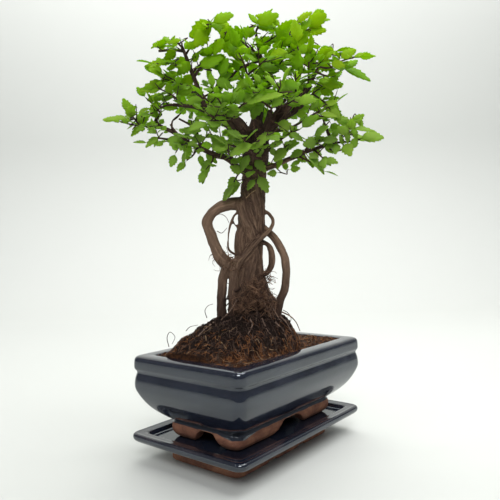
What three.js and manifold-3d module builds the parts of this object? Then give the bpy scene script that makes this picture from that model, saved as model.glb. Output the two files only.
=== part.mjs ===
// An elm bonsai in a glazed oblong pot that stands on its saucer.
// Millimetres, +Z up. The model is drawn round the middle of the pot,
// and at the end it is moved so that its origin is the bottom centre of its box.
import * as THREE from 'three';
import { mergeVertices } from 'three/addons/utils/BufferGeometryUtils.js';
import Module from 'manifold-3d';

const wasm = await Module();
wasm.setup();

// Clearance between pieces that rest on or in each other
const SEAT_GAP = 0.35;
const TOUCH_GAP = 0.1;

// Corners of a fused solid that lie closer than this to a flat are left out
const MERGE_TOLERANCE = 0.1;
const WOOD_TOLERANCE = 0.15;

// Points round each corner of the pot and saucer, and of the soil
const CORNER_POINTS = 4;
const SOIL_CORNER_POINTS = 5;

// Pot
const POT_LENGTH = 150;
const POT_WIDTH = 98.5;
const POT_TOP = 73;
const RIM_WIDTH = 12;
const FLOOR_TOP = 32.5;
const FLOOR_UNDERSIDE = 27;
const FOOT_INSET = 17.5;
const FOOT_WALL = 9;
const LONG_ARCH = 40;
const LONG_ARCH_SHIFT = 2;
const SHORT_ARCH = 26;
const SHORT_ARCH_SHIFT = -4;
const ARCH_TOP = 25.6;
const DRAIN_RADIUS = 5;
const DRAIN_OFFSET = 30;
const DRAIN_SIDES = 14;

// Saucer, which stands a little out of line with the pot
const SAUCER_LENGTH = 148;
const SAUCER_WIDTH = 100.5;
const SAUCER_SHIFT_X = -1.2;
const SAUCER_SHIFT_Y = 1.5;
const SAUCER_TOP = 19.8;
const RECESS_FLOOR = 16.2;
const SAUCER_UNDERSIDE = 10.5;
const NOTCH_OFFSET = 17.5;
const NOTCH_WIDTH = 10;
const NOTCH_HEIGHT = 1.8;

// Drain screens, which keep the soil in over the two drain holes
const SCREEN_SIZE = 22;
const SCREEN_THICKNESS = 1.2;
const SCREEN_PITCH = 9;
const SCREEN_HOLE = 6;

// Soil: it slopes down slowly to the pot's left end and steeply to the right,
// and fills the far left corner more than the others
const SOIL_EDGE = 71.6;
const MOUND_RISE = 26;
const MOUND_REACH_LEFT = 68;
const MOUND_REACH_RIGHT = 34;
const MOUND_REACH_SIDE = 35;
const MOUND_ROUNDNESS = 2.2;
const MOUND_CORNER_ROUNDNESS = 5;
const MOUND_POWER_LEFT = 2.3;
const MOUND_POWER_RIGHT = 4;
const MOUND_TURN = 20;
const MOUND_SHARES = [1, 0.93, 0.84, 0.66, 0.48, 0.28];
const SOIL_LUMPS = 1.1;

// Leaves
const LEAF_THICKNESS = 0.6;
const LEAF_LENGTH_MIN = 10.5;
const LEAF_LENGTH_RANGE = 6;
const LEAF_WIDTH_SHARE = 0.6;
const LEAF_FOLD = 0.16;
const LEAF_CLEARANCE = 1.0;
const LEAF_ATTEMPTS = 16;
const OUTSIDE_COST = 100;
const CROWN_MIDDLE = 262;

// Wood: flutes round the trunk, and the share of its radius that a limb's flats reach
const TRUNK_SIDES = 11;
const TRUNK_FLUTE = 0.07;
const FLAT_SHARE = 0.75;
const SHOOT_RADIUS = 0.95;
const SHOOT_TIP_RADIUS = 0.6;
const SHOOT_SIDES = 3;

// The tree is written down as it is seen from its front: across to the right,
// up from the table, and out towards the viewer, who stands off the pot's corner.
// What is nearer to the viewer looks larger, and is drawn in to its true place.
const FRONT_TURN = THREE.MathUtils.degToRad(-51.5);
const VIEWER_DISTANCE = 392;
const VIEWER_HEIGHT = 142.2;
const VIEWER_ACROSS = -0.8;
const TO_RIGHT = new THREE.Vector3(Math.cos(FRONT_TURN), Math.sin(FRONT_TURN), 0);
const TO_VIEWER = new THREE.Vector3(Math.sin(FRONT_TURN), -Math.cos(FRONT_TURN), 0);

function place([seenAcross, seenUp, out]) {
  const nearness = out / VIEWER_DISTANCE;
  const across = THREE.MathUtils.lerp(seenAcross, VIEWER_ACROSS, nearness);
  const up = THREE.MathUtils.lerp(seenUp, VIEWER_HEIGHT, nearness);
  return new THREE.Vector3(0, 0, up)
    .addScaledVector(TO_RIGHT, across)
    .addScaledVector(TO_VIEWER, out);
}

// Where a place is seen: across to the right, and up
function seen(point) {
  const nearness = point.dot(TO_VIEWER) / VIEWER_DISTANCE;
  const across = (point.dot(TO_RIGHT) - nearness * VIEWER_ACROSS) / (1 - nearness);
  const up = (point.z - nearness * VIEWER_HEIGHT) / (1 - nearness);
  return [across, up];
}

// Whether a closed outline goes round a place, by the sides that a line to the left crosses
function encloses(outline, [across, up]) {
  let inside = false;
  outline.forEach(([x1, y1], i) => {
    const [x0, y0] = outline[(i + 1) % outline.length];
    if ((y0 > up) !== (y1 > up) && across < x0 + (up - y0) * (x1 - x0) / (y1 - y0)) {
      inside = !inside;
    }
  });
  return inside;
}

// A repeatable draw between 0 and 1 for the numbers of a shoot, a leaf and a use
function chance(a, b, c) {
  let n = (a * 7919 + b * 104729 + c * 1299709 + 12345) >>> 0;
  n = Math.imul(n ^ (n >>> 16), 0x45d9f3b) >>> 0;
  n = Math.imul(n ^ (n >>> 16), 0x45d9f3b) >>> 0;
  return ((n ^ (n >>> 16)) >>> 0) / 4294967296;
}

// Solids

function toSolid(geometry) {
  geometry.deleteAttribute('normal');
  geometry.deleteAttribute('uv');
  const merged = mergeVertices(geometry, 1e-4);
  const index = merged.index.array;
  const corners = [];
  for (let i = 0; i < index.length; i += 3) {
    const [a, b, c] = [index[i], index[i + 1], index[i + 2]];
    if (a !== b && b !== c && c !== a) {
      corners.push(a, b, c);
    }
  }
  return new wasm.Manifold(new wasm.Mesh({
    numProp: 3,
    vertProperties: new Float32Array(merged.attributes.position.array),
    triVerts: new Uint32Array(corners),
  }));
}

function toGeometry(solid) {
  const mesh = solid.getMesh();
  const geometry = new THREE.BufferGeometry();
  geometry.setAttribute('position', new THREE.BufferAttribute(mesh.vertProperties, 3));
  geometry.setIndex(new THREE.BufferAttribute(mesh.triVerts, 1));
  return geometry;
}

function largestBody(solid) {
  return solid.decompose().sort((a, b) => b.volume() - a.volume())[0];
}

function joinAll(solids) {
  return solids.reduce((sum, next) => sum.add(next));
}

// Point number column of a rounded oblong: half length, half width, corner radius
function oblongPoint(column, perCorner, halfLength, halfWidth, radius) {
  const corner = Math.floor(column / perCorner) % 4;
  const step = (column % perCorner) / (perCorner - 1);
  const angle = (corner + step) * Math.PI / 2;
  const r = Math.min(radius, halfLength, halfWidth);
  const signX = corner === 0 || corner === 3 ? 1 : -1;
  const signY = corner < 2 ? 1 : -1;
  return [
    signX * (halfLength - r) + r * Math.cos(angle),
    signY * (halfWidth - r) + r * Math.sin(angle),
  ];
}

// A lathe turned oblong: each row is [half length, half width, corner radius, height]
function oblongLathe(rows, perCorner, lift = () => 0) {
  const profile = rows.map((row) => new THREE.Vector2(row[0], row[3]));
  const columns = perCorner * 4;
  const geometry = new THREE.LatheGeometry(profile, columns);
  const position = geometry.attributes.position;
  for (let i = 0; i < position.count; i++) {
    const column = Math.floor(i / rows.length) % columns;
    const [halfLength, halfWidth, radius, height] = rows[i % rows.length];
    const [x, y] = oblongPoint(column, perCorner, halfLength, halfWidth, radius);
    position.setXYZ(i, x, y, height + lift(x, y, i % rows.length));
  }
  const solid = toSolid(geometry);
  if (solid.volume() > 0) {
    return solid;
  }
  const turned = geometry.index.array;
  for (let i = 0; i < turned.length; i += 3) {
    [turned[i], turned[i + 1]] = [turned[i + 1], turned[i]];
  }
  return toSolid(geometry);
}

// Rows of an oblong lathe from [inset, height, corner radius] and the outer size
function insetRows(length, width, profile) {
  return profile.map(([inset, height, radius]) => [
    length / 2 - inset,
    width / 2 - inset,
    radius,
    height,
  ]);
}

function centreRow(height) {
  return [0, 0, 0, height];
}

// An outline in X and Z, carried through from one side to the other along Y
function throughCut(shape, depth) {
  const settings = { depth, bevelEnabled: false, curveSegments: CORNER_POINTS };
  const geometry = new THREE.ExtrudeGeometry(shape, settings);
  geometry.translate(0, 0, -depth / 2);
  geometry.rotateX(Math.PI / 2);
  return toSolid(geometry);
}

function block(sizeX, sizeY, sizeZ, x, y, z) {
  return toSolid(new THREE.BoxGeometry(sizeX, sizeY, sizeZ).translate(x, y, z));
}

// Pot: a curved belly under a grooved rim, on a foot that arches cut into four

const POT_OUTSIDE = [
  [24, FLOOR_UNDERSIDE, 10],
  [18, 29, 10],
  [13.2, 32.2, 9],
  [8, 36.6, 8],
  [3.8, 42, 8],
  [0.9, 48, 7],
  [0, 55, 7],
  [0.2, 57.6, 7],
  [1.1, 60, 6.5],
  [1.5, 61.6, 6.5],
  [1.5, 63, 6.5],
  [0.6, 64.9, 6.8],
  [0, 66.6, 7],
  [0, 70.9, 7],
  [0.9, 72.6, 6.5],
  [2.4, POT_TOP, 6],
];
const POT_INSIDE = [
  [RIM_WIDTH - 1, POT_TOP, 3],
  [RIM_WIDTH, 72.2, 3],
  [RIM_WIDTH, 70, 3],
  [7.5, 66, 4],
  [6.5, 54, 4],
  [9.5, 44, 5],
  [17, 36, 6],
  [26, FLOOR_TOP, 7],
];
const FOOT_PROFILE = [
  [FOOT_INSET + 2, 29.5, 7],
  [FOOT_INSET + 0.5, 26.5, 7],
  [FOOT_INSET, 23, 7],
  [FOOT_INSET + 0.9, 20, 6.5],
  [FOOT_INSET + 2.8, 17.6, 6],
  [FOOT_INSET + 4.6, RECESS_FLOOR + SEAT_GAP, 5],
  [FOOT_INSET + FOOT_WALL, RECESS_FLOOR + SEAT_GAP, 2],
  [FOOT_INSET + FOOT_WALL - 1, 29.5, 2],
];

function archShape(width) {
  const below = RECESS_FLOOR - 4;
  const springing = RECESS_FLOOR + 1.5;
  const half = width / 2;
  const flat = half * 0.3;
  const shape = new THREE.Shape();
  shape.moveTo(-half - 3, below);
  shape.lineTo(-half, springing);
  shape.bezierCurveTo(-half * 0.72, springing + 1, -half * 0.66, ARCH_TOP, -flat, ARCH_TOP);
  shape.lineTo(flat, ARCH_TOP);
  shape.bezierCurveTo(half * 0.66, ARCH_TOP, half * 0.72, springing + 1, half, springing);
  shape.lineTo(half + 3, below);
  shape.closePath();
  return shape;
}

function drainHole(x) {
  const hole = new THREE.CylinderGeometry(DRAIN_RADIUS, DRAIN_RADIUS, 20, DRAIN_SIDES);
  return toSolid(hole.rotateX(Math.PI / 2).translate(x, 0, FLOOR_TOP));
}

function makePot() {
  const bodyRows = insetRows(POT_LENGTH, POT_WIDTH, [...POT_OUTSIDE, ...POT_INSIDE]);
  const rows = [centreRow(FLOOR_UNDERSIDE), ...bodyRows, centreRow(FLOOR_TOP)];
  const body = oblongLathe(rows, CORNER_POINTS);
  const footRows = insetRows(POT_LENGTH, POT_WIDTH, FOOT_PROFILE);
  const foot = oblongLathe([...footRows, footRows[0]], CORNER_POINTS);
  const archesAlong = throughCut(archShape(LONG_ARCH), POT_WIDTH)
    .translate([LONG_ARCH_SHIFT, 0, 0]);
  const archesAcross = throughCut(archShape(SHORT_ARCH), POT_LENGTH)
    .rotate([0, 0, 90])
    .translate([0, SHORT_ARCH_SHIFT, 0]);
  return body
    .add(foot.subtract(archesAlong).subtract(archesAcross))
    .subtract(drainHole(-DRAIN_OFFSET))
    .subtract(drainHole(DRAIN_OFFSET));
}

// Saucer: a flat lip round a shallow tray, on a bare clay foot

const SAUCER_PROFILE = [
  [27, SAUCER_UNDERSIDE, 5],
  [26, 1, 6],
  [25, 0, 6],
  [20.6, 0, 7],
  [19.4, 0.9, 7],
  [18.2, 6, 7],
  [14, 8.6, 7],
  [4, 13, 6],
  [1.2, 14.9, 6],
  [0, 17, 6],
  [0.2, 18.8, 6],
  [1.4, SAUCER_TOP, 5.5],
  [7.4, SAUCER_TOP, 3.5],
  [8.4, 19.3, 3],
  [9.6, 16.7, 3],
  [11, RECESS_FLOOR, 3],
];

function makeSaucer() {
  const bodyRows = insetRows(SAUCER_LENGTH, SAUCER_WIDTH, SAUCER_PROFILE);
  const rows = [centreRow(SAUCER_UNDERSIDE), ...bodyRows, centreRow(RECESS_FLOOR)];
  let saucer = oblongLathe(rows, CORNER_POINTS);
  for (const side of [-1, 1]) {
    const notch = block(NOTCH_WIDTH, SAUCER_WIDTH, NOTCH_HEIGHT * 2, side * NOTCH_OFFSET, 0, 0);
    saucer = saucer.subtract(notch);
  }
  return saucer.translate([SAUCER_SHIFT_X, SAUCER_SHIFT_Y, 0]);
}

function makeScreen(x) {
  const z = FLOOR_TOP + SEAT_GAP + SCREEN_THICKNESS / 2;
  let screen = block(SCREEN_SIZE, SCREEN_SIZE, SCREEN_THICKNESS, x, 0, z);
  for (const column of [-0.5, 0.5]) {
    for (const row of [-0.5, 0.5]) {
      const [holeX, holeY] = [x + column * SCREEN_PITCH, row * SCREEN_PITCH];
      screen = screen.subtract(block(SCREEN_HOLE, SCREEN_HOLE, 4, holeX, holeY, z));
    }
  }
  return screen;
}

// Soil: it fills the pot and is heaped up round the roots

function lumps(x, y) {
  const along = x * 0.31 + 1.7 * Math.sin(y * 0.23);
  const across = y * 0.37 + 0.9 * Math.sin(x * 0.19);
  return Math.sin(along) * Math.cos(across);
}

// How far the soil is heaped up over its edge at a place
function moundRise(x, y) {
  const shareX = Math.abs(x) / (x < 0 ? MOUND_REACH_LEFT : MOUND_REACH_RIGHT);
  const shareY = Math.abs(y) / MOUND_REACH_SIDE;
  const roundness = x < 0 && y > 0 ? MOUND_CORNER_ROUNDNESS : MOUND_ROUNDNESS;
  const share = (shareX ** roundness + shareY ** roundness) ** (1 / roundness);
  const turn = THREE.MathUtils.clamp((x + MOUND_TURN) / (2 * MOUND_TURN), 0, 1);
  const power = THREE.MathUtils.lerp(MOUND_POWER_LEFT, MOUND_POWER_RIGHT, turn);
  return MOUND_RISE * (1 - Math.min(share, 1) ** power);
}

function makeSoil() {
  const walls = POT_INSIDE.slice(2).reverse().map(([inset, height, radius]) => [
    inset + SEAT_GAP,
    height + (height === FLOOR_TOP ? SEAT_GAP : 0),
    radius,
  ]);
  const wallRows = insetRows(POT_LENGTH, POT_WIDTH, walls);
  const topLength = POT_LENGTH / 2 - RIM_WIDTH - SEAT_GAP;
  const topWidth = POT_WIDTH / 2 - RIM_WIDTH - SEAT_GAP;
  const moundRows = MOUND_SHARES.map((share) => [
    topLength * share,
    topWidth * share,
    3 + (topWidth * share - 3) * (1 - share) ** 0.4,
    SOIL_EDGE,
  ]);
  const rows = [
    centreRow(FLOOR_TOP + SEAT_GAP),
    ...wallRows,
    ...moundRows,
    centreRow(SOIL_EDGE),
  ];
  const edgeRow = 1 + wallRows.length;
  const lift = (x, y, row) => (row > edgeRow ? moundRise(x, y) + SOIL_LUMPS * lumps(x, y) : 0);
  return oblongLathe(rows, SOIL_CORNER_POINTS, lift);
}

// Wood: every limb and root is a route of [across, up, out, radius]

const TRUNK = [
  [-5.7, 63, 0, 8],
  [-5.2, 85, 0, 12.9],
  [-4.9, 98, 0, 12.2],
  [-3.5, 109, 0, 11.3],
  [-2.5, 121, 0, 9.8],
  [-1.8, 133, 0, 9],
  [-0.7, 146, 0, 9.2],
  [0.3, 159, 0, 9.6],
  [1, 171, 0, 10.1],
  [2.4, 183, 0, 9.3],
  [3.4, 195, 0, 8.9],
  [4, 205, 0, 9.3],
  [5.4, 215, 0, 9.9],
  [6.3, 223, 0, 8.5],
  [6.9, 231, 0, 5.5],
];

const ROOTS = {
  left_loop: [[-2, 177.7, 2, 4.7], [-9.6, 178.2, 3, 4.9], [-17.7, 177.3, 4, 4.6],
    [-25.6, 173.8, 5, 4], [-31.4, 167.3, 6, 4.1], [-31.8, 161.4, 6, 4], [-29.4, 154.7, 6, 4],
    [-26.6, 147.2, 6, 4.1], [-23.5, 140.1, 6, 4.7], [-19.5, 135.2, 6, 5], [-13, 130.6, 6, 4.4]],
  left_leg: [[-16.5, 135, 6, 4], [-19.7, 128.5, 6, 3.5], [-21.6, 122, 5, 3.5],
    [-22.4, 114.5, 5, 3.4], [-22.8, 107, 5, 3.5], [-23.2, 99, 5, 3.5], [-23.7, 83.5, 5, 3.4]],
  second_leg: [[-8.3, 138, 8, 3.5], [-11.4, 133, 8, 3.8], [-12.9, 126, 8, 3.7],
    [-13.5, 119, 8, 3.7], [-13.9, 111.5, 8, 3.8], [-14.1, 103, 8, 4.1], [-14.8, 83.5, 8, 4.1]],
  front_diagonal: [[7.3, 171.2, 1, 1.6], [11.7, 171.6, 2, 1.5], [15, 168.7, 3, 1.4],
    [16.9, 164.3, 5, 1.4], [14.7, 158.8, 7, 1.7], [9.8, 154, 9, 1.9], [3.8, 148.7, 10, 1.9],
    [-2.3, 142.2, 10, 2], [-7.6, 136, 9, 2.1], [-11.5, 130.5, 8, 2.2]],
  right_loop: [[5.6, 162, 0, 3], [11.4, 157.5, 1, 3], [17.2, 152, 2, 3], [21.4, 145.3, 2, 3],
    [24.6, 138, 2, 3], [25.5, 129, 2, 3], [25, 120, 2, 3], [23.8, 112.7, 2, 3],
    [20.7, 106, 2, 3], [18.8, 98, 2, 3.2], [17.7, 84, 2, 3.2]],
  inner_loop: [[4.5, 149.8, 4, 1.6], [10, 149, 5, 1.6], [14.4, 145, 5, 1.8],
    [16.1, 138.7, 5, 1.8], [15.3, 132, 5, 1.8], [12, 126.6, 4, 1.8], [4.6, 123.5, 3, 1.8]],
  inner_strand: [[8, 148.6, 3, 0.8], [11.8, 146.3, 3, 0.7], [13.2, 140.3, 3, 0.7],
    [13, 133, 3, 0.7], [10.6, 127, 2, 0.9]],
  thin_left: [[-6.8, 172.6, 4, 1.3], [-11.3, 170, 5, 1], [-14, 164.6, 5, 1.1],
    [-16, 158, 5, 0.9], [-16.8, 150.6, 4, 0.8], [-16.3, 144, 3, 1.1], [-9.8, 139.4, 2, 1.2]],
  bent_left: [[-13.5, 166.5, 4.6, 0.8], [-11.4, 162.4, 3, 0.7], [-7.5, 158.5, 1, 0.9]],
  middle_ridge: [[-7, 178, 5, 3.6], [-4, 167, 7, 3.8], [0, 157, 7, 4], [2, 147, 6.5, 3.8],
    [2, 136, 6, 3.6], [-1, 124, 7, 3.6], [-3, 112, 9, 3.8], [-4, 99, 11, 4], [-4, 84, 12, 4]],
  left_ridge: [[-5, 166, 3, 3.4], [-7.5, 156, 4, 3.2], [-7.5, 146, 4, 3], [-7, 135, 4, 3.2],
    [-8.5, 122, 5, 3.4], [-10, 108, 7, 3.8], [-11, 96, 9, 3.6], [-11, 84, 10, 3.6]],
  right_ridge: [[6, 186, 4, 3.2], [8, 172, 3, 3], [7, 158, 3, 3.2], [5.5, 144, 3.5, 3],
    [5.5, 130, 4, 3.2], [7.5, 118, 4, 3.4], [10.5, 108, 5, 3.4], [13.5, 98, 6, 3.4],
    [15, 84, 7, 3.2]],
  right_buttress: [[6, 126, 0, 3], [9, 117, -1, 3.2], [12, 109, -2, 3.2], [16, 101, -3, 3.4],
    [19, 84, -4, 3.2]],
  back_loop: [[4, 176, -4, 3.4], [7, 169, -11, 3.2], [7, 157, -17, 3], [6, 143, -20, 3],
    [6, 129, -20, 3], [7, 115, -19, 3.2], [7, 103, -19, 3.2], [7, 84, -20, 3.2]],
  back_left: [[-5, 164, -5, 3], [-9, 155, -11, 2.8], [-10, 143, -14, 2.7], [-10, 129, -15, 2.8],
    [-12, 115, -16, 3], [-14, 101, -17, 3.2], [-15, 84, -17, 3.2]],
  back_ridge: [[2, 190, -5, 3.2], [-1, 174, -7, 3.4], [-1, 158, -7, 3.4], [1, 142, -6, 3.2],
    [0, 126, -7, 3.4], [-2, 110, -10, 3.6], [-3, 97, -13, 3.6], [-3, 84, -15, 3.6]],
};

const LIMBS = {
  left_low: [[1, 199, 2, 2.8], [-8, 204.5, 3, 2.3], [-14, 210, 4, 2], [-20, 213.5, 5, 1.9],
    [-28, 216, 6, 1.8], [-36, 220, 7, 1.7], [-44, 224, 8, 1.6], [-51, 229, 8, 1.5],
    [-58, 233.5, 8, 1.4], [-66, 236.5, 8, 1.3]],
  left_low_side: [[-43, 223.5, 8, 1.4], [-52, 226, 11, 1.2], [-60, 227, 13, 1.1]],
  left_low_rise: [[-60, 234.5, 8, 1.2], [-67, 238.5, 6, 1.2], [-68, 242, 5, 1.2], [-64, 246, 3, 1.1]],
  left_main: [[4, 220, 0, 6], [-3, 231, -1, 5.2], [-9, 239, 0, 4.2], [-16, 243, 2, 3.2],
    [-24, 243.5, 4, 2.6], [-30, 247, 5, 2.2], [-34, 257, 6, 1.9], [-38, 269, 7, 1.6],
    [-42, 280, 8, 1.5], [-45, 289, 9, 1.3], [-47.5, 295, 9, 1.2]],
  left_second: [[-29, 246, 5, 1.6], [-38, 250, 8, 1.4], [-46, 251.5, 9, 1.3], [-55, 252.5, 9, 1.2]],
  left_spur: [[-46, 292, 9, 1.2], [-54, 293, 10, 0.9], [-65, 292.5, 11, 0.8]],
  leader: [[5, 222, -1, 6], [6, 236, -3, 4.6], [9, 250, -4, 3.8], [13, 263, -5, 3],
    [15, 275, -5, 2.4], [11, 285, -4, 1.7], [4, 291.5, -3, 1.3]],
  leader_stem: [[11.5, 284, -4, 1.4], [9, 293, -3, 1.1], [8, 302, -2, 1]],
  leader_right: [[14.5, 272, -5, 1.8], [21, 282, -3, 1.5], [28, 292, 0, 1.3]],
  right_main: [[6, 220, 1, 5.4], [14, 231, 4, 4.2], [22, 242, 5, 3.4], [30, 250, 6, 2.8],
    [38, 257, 7, 2.2], [45, 264, 8, 1.7], [50, 272, 8, 1.4]],
  right_under: [[21, 240.5, 4.5, 2.2], [31, 243, 1, 1.9], [38, 247.5, -2, 1.7], [45, 255, -4, 1.4]],
  right_thin: [[15, 232, 4, 1.4], [24, 231.5, 7, 1.1], [33, 234, 8, 0.9], [42, 239, 9, 0.9],
    [52, 244.5, 10, 0.8]],
  right_low: [[5, 200, 0, 2.8], [12, 203.5, 2, 2.3], [20, 206, 4, 1.9], [28, 209.5, 6, 1.7],
    [36, 212.5, 7, 1.6], [43, 215.5, 8, 1.5], [50, 217.5, 8, 1.4], [58, 220, 8, 1.2],
    [66, 221.5, 8, 1.1]],
  right_low_fork: [[57, 219.5, 8, 1.1], [60, 226, 7, 1], [58, 232, 6, 0.9]],
  right_front: [[7, 213, 3, 2.4], [16, 219, 9, 2], [24, 225, 15, 1.6]],
  front_left: [[1, 224, 3, 3], [-8, 232, 14, 2.3], [-14, 240, 25, 1.8]],
  front_right: [[7, 224, 3, 3], [13, 235, 16, 2.2], [17, 246, 27, 1.8]],
  front_low: [[3, 208, 4, 2.2], [2, 215, 19, 1.7]],
  front_high: [[8, 246, -3, 2.2], [4, 259, 10, 1.7], [1, 271, 18, 1.4]],
  back_left: [[1, 222, -3, 3.2], [-10, 231, -17, 2.4], [-20, 240, -31, 1.8]],
  back_right: [[8, 222, -4, 3.2], [16, 234, -19, 2.3], [23, 245, -33, 1.8]],
  back_low: [[3, 208, -4, 2.6], [0, 214, -19, 2], [-4, 220, -34, 1.6]],
  back_high: [[7, 240, -4, 2.6], [4, 253, -17, 2], [2, 266, -27, 1.6]],
};

function routeCurve(route) {
  return new THREE.CatmullRomCurve3(route.map((stop) => place(stop)), false, 'catmullrom', 0.5);
}

function routeRadius(route, t) {
  const stop = Math.min(t * (route.length - 1), route.length - 1.0001);
  const first = Math.floor(stop);
  return THREE.MathUtils.lerp(route[first][3], route[first + 1][3], stop - first);
}

// A cylinder bent along a curve from the share first of its length. radiusAt gives
// its radius, grow adds to that and to both ends, and flute raises ridges round it.
function bentCylinder({ curve, first = 0, sides, steps, radiusAt, side, grow = 0, flute = 0 }) {
  const frames = [];
  for (let i = 0; i <= steps; i++) {
    const t = THREE.MathUtils.lerp(first, 1, i / steps);
    const tangent = curve.getTangent(t);
    side = side.clone().addScaledVector(tangent, -side.dot(tangent)).normalize();
    const centre = curve.getPoint(t);
    if (i === 0) {
      centre.addScaledVector(tangent, -grow);
    }
    if (i === steps) {
      centre.addScaledVector(tangent, grow);
    }
    const other = side.clone().cross(tangent);
    frames.push({ centre, side, other, radius: radiusAt(i / steps) + grow });
  }
  const geometry = new THREE.CylinderGeometry(1, 1, 1, sides, steps);
  const position = geometry.attributes.position;
  for (let i = 0; i < position.count; i++) {
    const step = Math.round((position.getY(i) + 0.5) * steps);
    const frame = frames[step];
    const [x, z] = [position.getX(i), position.getZ(i)];
    const angle = Math.atan2(z, x);
    const ridges = Math.cos(5 * angle + step * 0.55) + 0.6 * Math.cos(3 * angle - step * 0.4);
    const reach = frame.radius * (1 + flute * ridges);
    const point = frame.centre.clone()
      .addScaledVector(frame.side, x * reach)
      .addScaledVector(frame.other, z * reach);
    position.setXYZ(i, point.x, point.y, point.z);
  }
  return toSolid(geometry);
}

function woodSolid(route, sides, grow, flute = 0) {
  return bentCylinder({
    curve: routeCurve(route),
    sides,
    steps: route.length - 1,
    radiusAt: (t) => routeRadius(route, t),
    side: TO_RIGHT.clone().setZ(0.1),
    grow,
    flute,
  });
}

// A thicker limb or root has more sides
function sidesFor(route) {
  const widest = Math.max(...route.map((stop) => stop[3]));
  return 3 + [2, 2.5, 3.5].filter((limit) => widest > limit).length;
}

function makeWood(grow) {
  const branches = [...Object.values(ROOTS), ...Object.values(LIMBS)];
  return joinAll([
    woodSolid(TRUNK, TRUNK_SIDES, grow, TRUNK_FLUTE),
    ...branches.map((route) => woodSolid(route, sidesFor(route), grow)),
  ]);
}

// Shoots: [name, what it grows from, how far along that, route, leaves].
// A shoot that grows from a limb is a spray of its own, and one that grows
// from another shoot is fused with it.

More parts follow.
